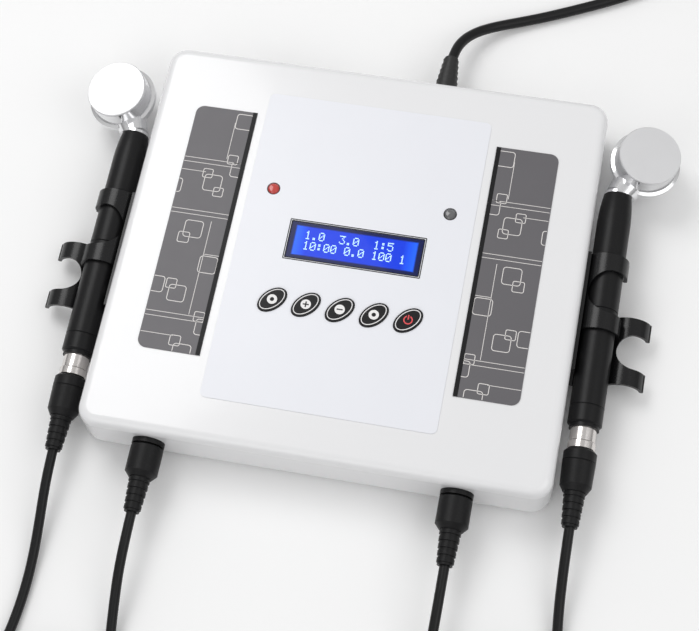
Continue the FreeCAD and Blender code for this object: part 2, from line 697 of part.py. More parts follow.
def head_frame(side):
    lean = Rotation(Vector(0, 1, 0), side * head_out.value)
    back = Rotation(Vector(1, 0, 0), head_back.value)
    return Placement(Vector(side * head_x.value, head_y.value, head_z.value), back * lean)


def aim(item, start, end):
    """Puts a piece's own z axis on the way from start to end, in the holder frame."""
    item.Placement = Placement(start, Rotation(Vector(0, 0, 1), end - start))
    return item


def handpiece(tag, side):
    frame = holder_frame(side)
    # sound head: skirt, flange ring and domed back on the head's own axis, then the neck
    skirt_top = face_height - face_skin
    shell = turned(f"head_can_{tag}", [
        (0, 0), (ring_radius, 0), (ring_radius, ring_height), (skirt_radius, ring_height + 0.7),
        (face_radius, skirt_top), (head_bore, skirt_top), (head_bore, 1.5), (0, 1.5)], "XZ_Plane")
    dome = doc.addObject("Part::Ellipsoid", f"head_dome_{tag}")
    bind(dome, Radius1=dome_depth, Radius2=ring_radius - 0.4, Radius3=ring_radius - 0.4)
    dome.Angle1 = -90
    dome.Angle2 = 0
    can = fuse(f"head_{tag}_turned", shell, dome)
    can.Placement = head_frame(side)
    start = Vector(0, grip_end.value, 0)
    middle = head_frame(side).multVec(Vector(0, 0, -dome_depth.value * 0.45))
    neck = doc.addObject("Part::Cone", f"neck_{tag}")
    bind(neck, Radius1=neck_root, Radius2=neck_head)
    neck.Height = (middle - start).Length
    aim(neck, start, middle)
    collar = rod(f"neck_collar_{tag}", neck_root, 1.6, 0, grip_end, 0, ALONG_Y)
    knuckle = doc.addObject("Part::Sphere", f"neck_knuckle_{tag}")
    bind(knuckle, Radius=neck_head)
    knuckle.Placement = Placement(middle, UP)
    spigot = rod(f"neck_spigot_{tag}", grip_bore - thread_gap, spigot_length, 0, grip_end - spigot_length, 0, ALONG_Y)
    cavity = rod(f"head_cavity_{tag}", head_bore, skirt_top, 0, 0, 1.5)
    cavity.Placement = head_frame(side) * Placement(Vector(0, 0, 1.5), UP)
    cavity.setExpression("Placement.Base.x", None)
    cavity.setExpression("Placement.Base.y", None)
    cavity.setExpression("Placement.Base.z", None)
    trim = rod(f"neck_trim_{tag}", neck_root * 2, 12, 0, grip_end - 12, 0, ALONG_Y)
    trimmed = cut(f"head_{tag}_trimmed", fuse(f"head_{tag}_whole", can, neck, knuckle, collar), cavity, trim)
    solid = fuse(f"head_{tag}_solid", trimmed, spigot)
    keep(f"head_shell_{tag}", seat_in_holder(solid, side))

    face = turned(f"face_{tag}", [
        (0, skirt_top), (face_radius, skirt_top), (face_radius, face_height - 0.4),
        (face_radius - 0.4, face_height), (0, face_height)], "XZ_Plane")
    face.Placement = frame * head_frame(side)
    keep(f"face_plate_{tag}", face)
    disc = turned(f"piezo_{tag}", [
        (0, skirt_top - piezo_skin), (piezo_radius, skirt_top - piezo_skin), (piezo_radius, skirt_top),
        (0, skirt_top)], "XZ_Plane")
    disc.Placement = frame * head_frame(side)
    keep(f"piezo_disc_{tag}", disc)

    # grip and barrel
    swell = [(grip_neck + (grip_radius - grip_neck) * s, grip_end - (grip_end - grip_swell) * t)
             for s, t in ((0.30, 0.18), (0.62, 0.42), (0.88, 0.72))]
    profile = [(grip_bore, grip_end), (grip_neck, grip_end)] + swell + [(grip_radius, grip_swell)]
    profile += grooved(grip_radius, grip_joint + 2.6)
    profile += [(grip_radius, grip_joint), (grip_bore, grip_joint)]
    keep(f"grip_{tag}", seat_in_holder(turned(f"grip_body_{tag}", profile), side))
    profile = [(grip_bore, grip_joint), (grip_radius - groove, grip_joint), (grip_radius, grip_joint - groove)]
    for offset in (27, 31.7, 78.3):
        profile += grooved(grip_radius, grip_joint - offset)
    profile += [(grip_radius, barrel_end + 0.8), (grip_radius - 0.8, barrel_end), (barrel_collar, barrel_end),
                (barrel_collar, tail_face), (grip_bore, tail_face)]
    keep(f"barrel_{tag}", seat_in_holder(turned(f"barrel_body_{tag}", profile), side))

    # tail socket, coupling nut and cable plug
    inner = grip_bore - thread_gap
    profile = [(0, tail_face + spigot_length), (inner, tail_face + spigot_length), (inner, tail_face),
               (ferrule_radius, tail_face), (ferrule_radius, ferrule_end), (nose_radius, ferrule_end),
               (nose_radius, ferrule_end - nose_length), (0, ferrule_end - nose_length)]
    keep(f"tail_socket_{tag}", seat_in_holder(turned(f"tail_{tag}", profile), side))
    nut_top = ferrule_end - nut_gap
    nut_low = nut_top - nut_length
    bore = nose_radius + plug_clear
    profile = [(bore, nut_top), (nut_radius - 0.3, nut_top), (nut_radius, nut_top - 0.3),
               (nut_radius, nut_low + 0.3), (nut_radius - 0.3, nut_low), (bore, nut_low)]
    keep(f"coupling_nut_{tag}", seat_in_holder(turned(f"nut_{tag}", profile), side))
    plug_top = nut_low - nut_gap
    root = plug_top - cable_plug_length
    profile = [(0, plug_top + 1), (nose_radius, plug_top + 1), (nose_radius, plug_top),
               (cable_plug_radius - 1.2, plug_top), (cable_plug_radius, plug_top - 1.2)]
    profile += grooved(cable_plug_radius, plug_top - 6)
    profile += [(cable_plug_radius - 0.4, root + 3.2), (relief_root + 0.6, root)]
    profile += relief_profile(root, -1, 0)
    keep(f"cable_plug_{tag}", seat_in_holder(turned(f"plug_{tag}", profile), side))


# ---------------------------------------------------------------- holders
def arc_wall(name, bore, thickness, length, start_angle, end_angle, x, y, z, side):
    """Part of a tube along local Y, from start_angle to end_angle in the X-Z plane, seen from the front."""
    outer = doc.addObject("Part::Cylinder", name + "_outer")
    bind(outer, Radius=bore + thickness, Height=length)
    outer.Angle = end_angle.value - start_angle.value
    inner = rod(name + "_inner", bore, length + 2, x * side, y - length / 2 - 1, z, ALONG_Y)
    first = -end_angle.value if side > 0 else start_angle.value + 180
    stand(outer, x * side, y - length / 2, z, ALONG_Y * Rotation(Vector(0, 0, 1), first))
    return cut(name, outer, inner)


def tip_bead(name, radius, angle, length, x, y, z, side):
    """The rounded bead along a clip's finger tips."""
    turn = math.radians(angle.value)
    out = Size.of(x) + radius * math.cos(turn)
    up = Size.of(z) + radius * math.sin(turn)
    return rod(name, clip_wall * 0.62, length, out * side, Size.of(y) - length / 2, up, ALONG_Y)


def finger_notch(name, width, closed, reach, low, height, x, y, side):
    """A slot with a round closed end, open outboard, that parts two fingers."""
    end = rod(name + "_end", width / 2, height, (x - closed + width / 2) * side, y, low)
    start = x - closed + width / 2
    way = block(name + "_way", reach, width, height, (start + reach / 2) * side, y, low)
    return fuse(name, end, way)


def holder(tag, side):
    ring = arc_wall(f"clip_{tag}", clip_bore, clip_wall, clip_length, clip_tip, clip_lip, Size.of(0),
                    Size.of(0), Size.of(0), side)
    bead = tip_bead(f"clip_bead_{tag}", clip_bore + clip_wall * 0.62, clip_tip, clip_length, 0, 0, 0, side)
    clip_gap = clip_length - clip_finger * 2
    notch = finger_notch(f"clip_notch_{tag}", clip_gap, clip_notch, clip_bore * 2.5, Size.of(-5),
                         clip_bore * 2, Size.of(0), Size.of(0), side)
    clip = cut(f"clip_cut_{tag}", fuse(f"clip_whole_{tag}", ring, bead), notch)

    arch = arc_wall(f"hook_{tag}", hook_bore, hook_wall, hook_length, hook_tip, Size.of(180), hook_x,
                    hook_y, hook_z, side)
    rim = tip_bead(f"hook_bead_{tag}", hook_bore + hook_wall * 0.6, hook_tip, hook_length, hook_x, hook_y,
                   hook_z, side)
    hook_gap = hook_length - hook_finger * 2
    slot = finger_notch(f"hook_notch_{tag}", hook_gap, hook_notch, hook_bore * 2.5, hook_z - 1,
                        hook_bore * 2, hook_x, hook_y, side)
    hook = cut(f"hook_cut_{tag}", fuse(f"hook_whole_{tag}", arch, rim), slot)
    web_x = hook_x - hook_bore - hook_wall / 2
    web = block(f"hook_web_{tag}", hook_wall, hook_length, hook_z - shelf_z, web_x * side, hook_y, shelf_z)

    back_x = -(clip_bore + clip_wall)
    front_end = hook_y - hook_length / 2
    rear_end = clip_length / 2
    long = rear_end - front_end
    middle = (rear_end + front_end) / 2
    plate_height = clip_bore - shelf_z
    back = block(f"holder_plate_{tag}", clip_wall, long, plate_height, (back_x + clip_wall / 2) * side,
                 middle, shelf_z)
    ledge_width = web_x + hook_wall / 2 - back_x
    ledge = block(f"holder_shelf_{tag}", ledge_width, hook_length, shelf, (back_x + ledge_width / 2) * side,
                  hook_y, shelf_z)
    whole = fuse(f"holder_whole_{tag}", clip, hook, web, back, ledge)
    tools = []
    for i, z in enumerate((holder_screw_low, holder_screw_high)):
        # outboard from the case side: a clearance hole, then a flat sink for the head
        x = back_x - 1 if side > 0 else -(back_x - 1 + clip_wall + 2)
        tools.append(rod(f"holder_hole_{tag}_{i}", screw_radius + fit_gap, clip_wall + 2, x, holder_screw_y, z, ALONG_X))
        sink = back_x + clip_wall - holder_head_depth
        x = sink if side > 0 else -(sink + holder_head_depth + 1)
        tools.append(rod(f"holder_sink_{tag}_{i}", screw_head + fit_gap, holder_head_depth + 1, x, holder_screw_y, z, ALONG_X))
    keep(f"holder_{tag}", seat_in_holder(cut(f"holder_{tag}_solid", whole, *tools), side))


def holder_screws():
    screws = []
    for side in (-1, 1):
        reach = clip_wall - holder_head_depth
        heads = holder_screw_rods(f"holder_head_{side}", side, screw_head, reach, holder_head_depth)
        shanks = holder_screw_rods(f"holder_shank_{side}", side, screw_radius, reach - holder_screw_length,
                                   holder_screw_length)
        screws += [fuse(f"holder_screw_{side}_{i}", *pair) for i, pair in enumerate(zip(heads, shanks))]
    keep("holder_screws", group("holder_screw_group", screws))


# ---------------------------------------------------------------- rear fittings
def rear_fittings():
    # rocker switch: a frame with a box behind it, and a paddle on two pivots
    outer_w = rocker_width + rocker_bezel * 2
    outer_h = rocker_length + rocker_bezel * 2
    box_depth = 12
    flange = block("rocker_flange", outer_w, fitting_reach - 1, outer_h, rocker_x,
                   rear_y + (fitting_reach - 1) / 2, rocker_z - outer_h / 2)
    can = block("rocker_can", outer_w - 1.6, box_depth, outer_h - 1.6, rocker_x, rear_y - box_depth / 2,
                rocker_z - outer_h / 2 + 0.8)
    well = block("rocker_well", rocker_width, box_depth + fitting_reach - 2, rocker_length, rocker_x,
                 rear_y - (box_depth - fitting_reach - 2) / 2, rocker_z - rocker_length / 2)
    pin_holes = rod("rocker_pivot_hole", 1.2 + plug_clear / 3, outer_w - 1.6, rocker_x - (outer_w - 1.6) / 2,
                    rear_y - 3, rocker_z, ALONG_X)
    keep("rocker_frame", cut("rocker_frame_solid", fuse("rocker_frame_whole", flange, can), well, pin_holes))
    paddle_w = rocker_width - rocker_gap * 2
    half = rocker_length / 2 - rocker_gap * 2.4
    front = fitting_reach + 2.6
    body = body_named("rocker_paddle")
    # profile in the Y-Z plane about the pivot: a shallow V towards the rear, straight sides inwards
    points = [(front - 1.1, 0), (front, half), (0.5, half), (-2.2, 0.5), (-2.2, -0.5), (0.5, -half), (front, -half)]
    sketch = outline(body, "YZ_Plane", points, "rocker_profile")
    pad = body.newObject("PartDesign::Pad", "rocker_pad")
    pad.Profile = sketch
    bind(pad, Length=paddle_w)
    sketch.Visibility = False
    stand(body, rocker_x - paddle_w / 2, rear_y - 3, rocker_z)
    pivot = rod("rocker_pivot", 1.2, outer_w - 1.6 - 0.4, rocker_x - (outer_w - 1.6 - 0.4) / 2, rear_y - 3,
                rocker_z, ALONG_X)
    keep("rocker", fuse("rocker_solid", body, pivot))

    # fuse holder: a round cap with a screwdriver slot
    profile = [(0, rear_y - 12), (fuse_radius - 1, rear_y - 12), (fuse_radius - 1, rear_y),
               (fuse_radius, rear_y), (fuse_radius, rear_y + fitting_reach - 0.6),
               (fuse_radius - 0.6, rear_y + fitting_reach), (0, rear_y + fitting_reach)]
    cap = stand(turned("fuse_cap", profile), fuse_x, 0, rocker_z)
    slot = block("fuse_slot", 8, 2.4, 1.2, fuse_x, rear_y + fitting_reach, rocker_z - 0.6)
    keep("fuse_holder", cut("fuse_holder_solid", cap, slot))

    # mains strain relief: a root collar in the wall and a ribbed taper outside it
    profile = [(0, rear_y - wall - 2), (gland_root, rear_y - wall - 2), (gland_root, rear_y - wall),
               (gland_root - 1, rear_y - wall), (gland_root - 1, rear_y), (gland_root, rear_y)]
    ribs = 7
    for i in range(ribs):
        outer = gland_root - (gland_root - gland_tip) * (i / ribs)
        step = gland_length / ribs
        start = rear_y + step * i
        profile += [(outer, start + step * 0.6), (outer - relief_neck, start + step * 0.6),
                    (outer - relief_neck, start + step)]
    profile += [(0, rear_y + gland_length)]
    keep("mains_strain_relief", stand(turned("mains_relief", profile), gland_x, 0, gland_z))


# ---------------------------------------------------------------- cords
LEAD_LEFT_TAIL = [  # from the left handpiece's plug to its coil
    (-128.7, -118.2, 15.4), (-128.7, -130, 14.4), (-128.5, -143.2, 11.4), (-128, -158, 7.2),
    (-127.6, -174, 3.8), (-127.8, -191, 2.7), (-129.4, -209, 2.8), (-133.4, -229, 4.4), (-136.2, -247, 6.6)]
LEAD_LEFT_FRONT = [  # from the left front plug to the coil
    (-81.6, -142.5, 17.5), (-81.6, -168, 17.5), (-81, -192, 8.5), (-79.2, -212, 3.6),
    (-75.8, -231, 4.6), (-72.4, -249, 8)]
LEAD_RIGHT_TAIL = [
    (128.7, -114.2, 15.5), (128.7, -126, 14.4), (128.9, -139, 11.2), (129.4, -153, 7.2),
    (130.6, -168, 4.2), (132.4, -184, 2.9), (134.2, -200, 3.4), (135.2, -214, 5.2)]
LEAD_RIGHT_FRONT = [
    (73, -142.5, 17.5), (73, -165.5, 17.5), (72.5, -189, 10.6), (71.3, -204, 8.2), (70.8, -217.5, 8.6)]
MAINS_ROUTE = [
    (30, 129.5, 16), (31, 138.5, 14.9), (33.9, 146.8, 12.6), (38.9, 154, 9.6), (45.8, 159.9, 6.9),
    (54, 164.7, 4.9), (63.8, 169.2, 3.7), (75.6, 174.3, 3.1), (91, 181.4, 2.9), (108.6, 189.8, 2.9),
    (124.5, 198.6, 3.2), (138.8, 209.8, 4), (150.4, 223.6, 5), (157.8, 239, 5.8), (161.2, 254.6, 6.6)]
LEAD_COILS = {"left": (-104, -253), "right": (103, -217)}
MAINS_COIL = (125, 262)


def tube(name, points, radius):
    """A round cord of straight runs joined by tangent arcs, each as large as its two runs allow."""
    pts = [Vector(*p) for p in points]
    edges, at, report = [], pts[0], []
    for before, here, after in zip(pts, pts[1:], pts[2:]):
        inward, outward = (here - before), (after - here)
        reach = 0.45 * min(inward.Length, outward.Length)
        inward.normalize()
        outward.normalize()
        turn = inward.getAngle(outward)
        start, end = here - inward * reach, here + outward * reach
        bend = reach / math.tan(turn / 2)
        bisector = (outward - inward)
        bisector.normalize()
        deep = bend / math.cos(turn / 2) - bend
        edges.append(Part.LineSegment(at, start).toShape())
        edges.append(Part.Arc(start, here + bisector * deep, end).toShape())
        report.append(round(bend))
        at = end
    edges.append(Part.LineSegment(at, pts[-1]).toShape())
    path = Part.Wire(edges)
    section = Part.Wire(Part.Circle(pts[0], pts[1] - pts[0], radius.value).toShape())
    solid = path.makePipeShell([section], True, False)
    ideal = math.pi * radius.value**2 * path.Length
    check_volumes.append((name, solid.Volume, ideal))
    print(f"{name}: length {path.Length:.1f}, bend radii {report}, volume {solid.Volume:.0f} of {ideal:.0f}")
    return keep_shape(name, solid)


def coil(name, inner, outer, height, place):
    """The outer shape of a wound coil lying on the bench."""
    ease = 2.0
    low = bench_gap
    profile = [(inner + ease, low), (outer - ease, low), (outer, low + ease), (outer, height - ease),
               (outer - ease, height), (inner + ease, height), (inner, height - ease), (inner, low + ease)]
    keep(name, stand(turned(name + "_ring", profile, "XZ_Plane"), place[0], place[1], 0))


def mains_plug():
    """A flat two-pin mains plug beside the coil, its cord end towards the coil."""
    x, y = MAINS_COIL
    line_y = y + mains_coil_outer.value - mains_radius.value
    middle = 7.2
    relief_start = x - 2
    relief = doc.addObject("Part::Cone", "plug_relief")
    relief.Radius1 = mains_radius.value + 0.6
    relief.Radius2 = 5.2
    relief.Height = 22
    relief.Placement = Placement(Vector(relief_start, line_y, middle), Rotation(Vector(0, 0, 1), Vector(-1, 0, 0)))
    front = relief_start - 22
    body = plate("plug_case", 36, 25, 13.6, 0, 0, 0, corner=6, crown=3, hem=3)
    body.Placement = Placement()
    stand(body, front - 17, line_y, middle - 6.8)
    pins = [rod(f"plug_pin_{i}", 2, 19, front - 35 - 18, line_y + gap, middle, ALONG_X)
            for i, gap in enumerate((-9.3, 9.3))]
    keep("mains_plug", fuse("mains_plug_solid", relief, body, *pins))


def cords():
    for tag, tail, lead in (("left", LEAD_LEFT_TAIL, LEAD_LEFT_FRONT), ("right", LEAD_RIGHT_TAIL, LEAD_RIGHT_FRONT)):
        tube(f"lead_tail_{tag}", tail, lead_radius)
        tube(f"lead_front_{tag}", lead, lead_radius)
        coil(f"lead_coil_{tag}", coil_inner, coil_outer, coil_height, LEAD_COILS[tag])
    tube("mains_cable", MAINS_ROUTE, mains_radius)
    coil("mains_coil", mains_coil_inner, mains_coil_outer, mains_coil_height, MAINS_COIL)
    mains_plug()


# ---------------------------------------------------------------- build, check and write
def build():
    lower_case()
    upper_case()
    fasteners()
    top_face()
    display()
    keys_and_lamps()
    inside()
    sockets_and_plugs()
    for tag, side in (("left", -1), ("right", 1)):
        handpiece(tag, side)
        holder(tag, side)
    holder_screws()
    rear_fittings()
    cords()
    doc.recompute()


def check():
    faults = [f"{o.Name}: {o.State}" for o in doc.Objects if "Invalid" in o.State or "Error" in o.State]
    for name, item in nodes:
        shape = item.Shape
        if shape.isNull() or not shape.isValid() or not shape.Solids:
            faults.append(f"{name}: null, invalid or without a solid")
    for name, volume, ideal in check_volumes:
        if abs(volume - ideal) > 0.02 * ideal:
            faults.append(f"{name}: volume {volume:.0f} is not its section times its length, {ideal:.0f}")
    if len(nodes) > 60:
        faults.append(f"{len(nodes)} nodes")
    if faults:
        raise RuntimeError("; ".join(faults))


def write():
    os.makedirs("parts", exist_ok=True)
    for name, item in nodes:
        item.Shape.exportStep(f"parts/{name}.step")
    print(f"{len(nodes)} nodes written")


build()
check()
write()
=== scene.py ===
"""Ultrasound therapy unit: finishes, printed details, cords, floor, light and camera.

Everything is in metres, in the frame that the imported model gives.
"""

import math

import bpy
from mathutils import Matrix, Vector


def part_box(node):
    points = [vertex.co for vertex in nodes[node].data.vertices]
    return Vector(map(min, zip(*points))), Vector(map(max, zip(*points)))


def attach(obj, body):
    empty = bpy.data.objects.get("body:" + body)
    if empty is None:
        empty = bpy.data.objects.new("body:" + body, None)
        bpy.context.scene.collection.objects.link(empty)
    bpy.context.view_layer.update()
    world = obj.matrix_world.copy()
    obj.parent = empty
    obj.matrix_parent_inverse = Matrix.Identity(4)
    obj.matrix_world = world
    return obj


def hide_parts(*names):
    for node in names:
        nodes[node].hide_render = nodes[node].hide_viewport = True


bl_info = {
    "name": "Ultrasound Therapy Unit",
    "version": (1, 0, 0),
    "blender": (4, 5, 0),
    "location": "View3D > Sidebar > Therapy Unit",
    "description": "Builds the finished look of a bench-top ultrasound therapy unit",
    "category": "Add Mesh",
}

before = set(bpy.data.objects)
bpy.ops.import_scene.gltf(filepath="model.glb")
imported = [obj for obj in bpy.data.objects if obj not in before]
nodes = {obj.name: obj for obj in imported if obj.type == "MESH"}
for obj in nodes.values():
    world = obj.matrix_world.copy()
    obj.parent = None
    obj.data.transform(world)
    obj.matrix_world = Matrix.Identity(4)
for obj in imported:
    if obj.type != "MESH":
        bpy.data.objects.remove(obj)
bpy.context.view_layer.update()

MM = 0.001
SIDES = (("left", -1), ("right", 1))
HEAD_BACK = math.radians(3.3)  # tips a sound head's face to the front, the handle's slope included
HEAD_OUT = math.radians(8.5)  # tips it outwards
FILM_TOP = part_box("front_film")[1].z
PANEL_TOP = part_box("side_panel_left")[1].z


# ---------------------------------------------------------------- sizes and colours a user may change
class TherapyUnitSizes(bpy.types.PropertyGroup):
    """Sizes of the printed details and of the cords."""

    line_width: bpy.props.FloatProperty(
        name="Pattern line", description="Width of the lines on the side panels",
        default=0.38 * MM, min=0.1 * MM, unit="LENGTH", precision=5)
    print_height: bpy.props.FloatProperty(
        name="Print height", description="Thickness of printed lines and icons",
        default=0.06 * MM, min=0.01 * MM, unit="LENGTH", precision=5)
    strip_width: bpy.props.FloatProperty(
        name="Panel strip", description="Width of the black strip along a side panel's inner edge",
        default=2.3 * MM, min=0.5 * MM, unit="LENGTH", precision=5)
    dot_size: bpy.props.FloatProperty(
        name="Display dot", description="Side of one dot of a display character",
        default=0.56 * MM, min=0.1 * MM, unit="LENGTH", precision=5)
    dot_pitch: bpy.props.FloatProperty(
        name="Dot pitch", description="From dot to dot of a display character",
        default=0.62 * MM, min=0.1 * MM, unit="LENGTH", precision=5)
    character_pitch: bpy.props.FloatProperty(
        name="Character pitch", description="From character to character on the display",
        default=3.55 * MM, min=1 * MM, unit="LENGTH", precision=5)
    lead_diameter: bpy.props.FloatProperty(
        name="Lead diameter", description="Diameter of a handpiece lead",
        default=5 * MM, min=1 * MM, unit="LENGTH", precision=5)
    mains_diameter: bpy.props.FloatProperty(
        name="Mains lead diameter", description="Diameter of the mains lead",
        default=5.6 * MM, min=1 * MM, unit="LENGTH", precision=5)


def colour_property(name, description, default):
    """A colour that a user may change."""
    return bpy.props.FloatVectorProperty(
        name=name, description=description, default=default, size=3, min=0, max=1, subtype="COLOR")


class TherapyUnitColours(bpy.types.PropertyGroup):
    """Base colours of the finishes."""

    case: colour_property("Case", "Glossy moulded case", (0.83, 0.83, 0.84))
    film: colour_property("Front film", "Printed film on the top face", (0.83, 0.84, 0.885))
    panel: colour_property("Side panels", "Dark films either side", (0.118, 0.113, 0.122))
    pale_print: colour_property("Pale print", "Lines and icons", (0.78, 0.75, 0.73))
    black_print: colour_property("Black print", "Strips, borders and key caps", (0.007, 0.007, 0.008))
    red_print: colour_property("Red print", "Start key's icon", (0.75, 0.07, 0.08))
    display: colour_property("Display", "Backlit display", (0.0, 0.035, 0.62))
    red_lamp: colour_property("Red lamp", "Lens of the left lamp", (0.55, 0.05, 0.04))
    grey_lamp: colour_property("Grey lamp", "Lens of the right lamp", (0.13, 0.13, 0.135))
    handle: colour_property("Handles", "Moulded handles, clips and plugs", (0.008, 0.008, 0.0085))
    cord: colour_property("Cords", "Sheath of the leads", (0.007, 0.007, 0.0075))
    metal: colour_property("Sound head", "Polished metal", (0.83, 0.83, 0.84))


def sizes():
    """The scene's sizes."""
    return bpy.context.scene.therapy_unit_sizes


def colours():
    """The scene's colours."""
    return bpy.context.scene.therapy_unit_colours


# ---------------------------------------------------------------- shader node groups
def new_group(name, inputs, outputs):
    """An empty shader node group with its sockets; gives the tree and its input and output nodes."""
    tree = bpy.data.node_groups.new(name, "ShaderNodeTree")
    for label, kind, value in inputs:
        socket = tree.interface.new_socket(name=label, in_out="INPUT", socket_type="NodeSocket" + kind)
        if value is not None:
            socket.default_value = value
    for label, kind in outputs:
        tree.interface.new_socket(name=label, in_out="OUTPUT", socket_type="NodeSocket" + kind)
    return tree, tree.nodes.new("NodeGroupInput"), tree.nodes.new("NodeGroupOutput")


def add_node(tree, kind, **values):
    """A node with properties and socket values; a key that is a socket's name sets or links the socket."""
    node = tree.nodes.new(kind)
    for key, value in values.items():
        label = key.replace("_", " ")
        if hasattr(node, key) and label not in node.inputs:
            setattr(node, key, value)
            continue
        socket = node.inputs[int(key[1:])] if key[0] == "i" and key[1:].isdigit() else node.inputs[label]
        if isinstance(value, bpy.types.NodeSocket):
            tree.links.new(value, socket)
        else:
            socket.default_value = value
    return node


def math_node(tree, operation, *values):
    """The result of a sum on sockets or numbers."""
    node = tree.nodes.new("ShaderNodeMath")
    node.operation = operation
    for socket, value in zip(node.inputs, values):
        if isinstance(value, bpy.types.NodeSocket):
            tree.links.new(value, socket)
        else:
            socket.default_value = value
    return node.outputs[0]


def between(tree, value, low, high):
    """How far value is from low to high, from 0 to 1."""
    reach = add_node(tree, "ShaderNodeMapRange", Value=value)
    reach.inputs["From Min"].default_value = low
    reach.inputs["From Max"].default_value = high
    return reach.outputs[0]


def colour_mix(tree, factor, first, second):
    """A blend of two colours, each a socket or a value."""
    mix = add_node(tree, "ShaderNodeMix", data_type="RGBA")
    tree.links.new(factor, mix.inputs["Factor"])
    for socket, colour in ((mix.inputs[6], first), (mix.inputs[7], second)):
        if isinstance(colour, bpy.types.NodeSocket):
            tree.links.new(colour, socket)
        else:
            socket.default_value = colour
    return mix.outputs[2]


def surface_group():
    """Moulded or printed surface: colour that varies gently, uneven gloss, fine grain."""
    if "Moulded surface" in bpy.data.node_groups:
        return bpy.data.node_groups["Moulded surface"]
    tree, given, out = new_group(
        "Moulded surface",
        [("Colour", "Color", (0.5, 0.5, 0.5, 1)), ("Roughness", "Float", 0.4),
         ("Variation", "Float", 0.05), ("Gloss Variation", "Float", 0.06), ("Grain Scale", "Float", 2500)],
        [("Colour", "Color"), ("Roughness", "Float"), ("Height", "Float")])
    place = add_node(tree, "ShaderNodeTexCoord").outputs["Object"]
    broad = add_node(tree, "ShaderNodeTexNoise", Vector=place, Scale=38, Detail=4).outputs["Fac"]
    smear = add_node(tree, "ShaderNodeTexNoise", Vector=place, Scale=190, Detail=5, Roughness=0.62)
    fine = add_node(tree, "ShaderNodeTexNoise", Vector=place, Scale=given.outputs["Grain Scale"], Detail=3)
    shift = math_node(tree, "MULTIPLY", math_node(tree, "SUBTRACT", broad, 0.5), given.outputs["Variation"])
    shade = add_node(tree, "ShaderNodeHueSaturation", Color=given.outputs["Colour"],
                     Value=math_node(tree, "ADD", 1.0, shift))
    smeared = math_node(tree, "SUBTRACT", smear.outputs["Fac"], 0.5)
    gloss = math_node(tree, "MULTIPLY", smeared, given.outputs["Gloss Variation"])
    tree.links.new(shade.outputs[0], out.inputs["Colour"])
    tree.links.new(math_node(tree, "ADD", given.outputs["Roughness"], gloss), out.inputs["Roughness"])
    tree.links.new(fine.outputs["Fac"], out.inputs["Height"])
    return tree


DUST_COLOUR = (0.42, 0.41, 0.40, 1)


def dust_group():
    """A light dust that lies on what faces up, as a mask."""
    if "Settled dust" in bpy.data.node_groups:
        return bpy.data.node_groups["Settled dust"]
    tree, given, out = new_group(
        "Settled dust", [("Colour", "Color", (0.1, 0.1, 0.1, 1)), ("Amount", "Float", 0.1)],
        [("Colour", "Color"), ("Mask", "Float")])
    normal = add_node(tree, "ShaderNodeNewGeometry").outputs["Normal"]
    facing = add_node(tree, "ShaderNodeSeparateXYZ", Vector=normal)
    up = math_node(tree, "MAXIMUM", facing.outputs["Z"], 0.0)
    place = add_node(tree, "ShaderNodeTexCoord").outputs["Object"]
    speck = add_node(tree, "ShaderNodeTexNoise", Vector=place, Scale=1400, Detail=6, Roughness=0.7)
    spots = math_node(tree, "MULTIPLY", up, between(tree, speck.outputs["Fac"], 0.52, 0.78))
    mask = math_node(tree, "MULTIPLY", spots, given.outputs["Amount"])
    shade = colour_mix(tree, mask, given.outputs["Colour"], DUST_COLOUR)
    tree.links.new(shade, out.inputs["Colour"])
    tree.links.new(mask, out.inputs["Mask"])
    return tree


def turned_group():
    """Rings left by turning, about the z axis of the given place."""
    if "Turned rings" in bpy.data.node_groups:
        return bpy.data.node_groups["Turned rings"]
    tree, given, out = new_group(
        "Turned rings", [("Place", "Vector", None), ("Rings", "Float", 9000), ("Roughness", "Float", 0.15)],
        [("Height", "Float"), ("Roughness", "Float")])
    flat = add_node(tree, "ShaderNodeVectorMath", operation="MULTIPLY")
    tree.links.new(given.outputs["Place"], flat.inputs[0])
    flat.inputs[1].default_value = (1, 1, 0)
    reach = add_node(tree, "ShaderNodeVectorMath", operation="LENGTH")
    tree.links.new(flat.outputs[0], reach.inputs[0])
    ring = math_node(tree, "MULTIPLY", reach.outputs["Value"], given.outputs["Rings"])
    rings = add_node(tree, "ShaderNodeTexNoise", noise_dimensions="1D", W=ring, Scale=1, Detail=2)
    cloudy = add_node(tree, "ShaderNodeTexNoise", Vector=given.outputs["Place"], Scale=160, Detail=5)
    rough = math_node(tree, "MULTIPLY", math_node(tree, "SUBTRACT", cloudy.outputs["Fac"], 0.5), 0.14)
    tree.links.new(rings.outputs["Fac"], out.inputs["Height"])
    tree.links.new(math_node(tree, "ADD", given.outputs["Roughness"], rough), out.inputs["Roughness"])
    return tree


# ---------------------------------------------------------------- materials
def start_material(name):
    """A new material, its node tree and its Principled shader."""
    material = bpy.data.materials.new(name)
    material.use_nodes = True
    tree = material.node_tree
    return material, tree, tree.nodes["Principled BSDF"]


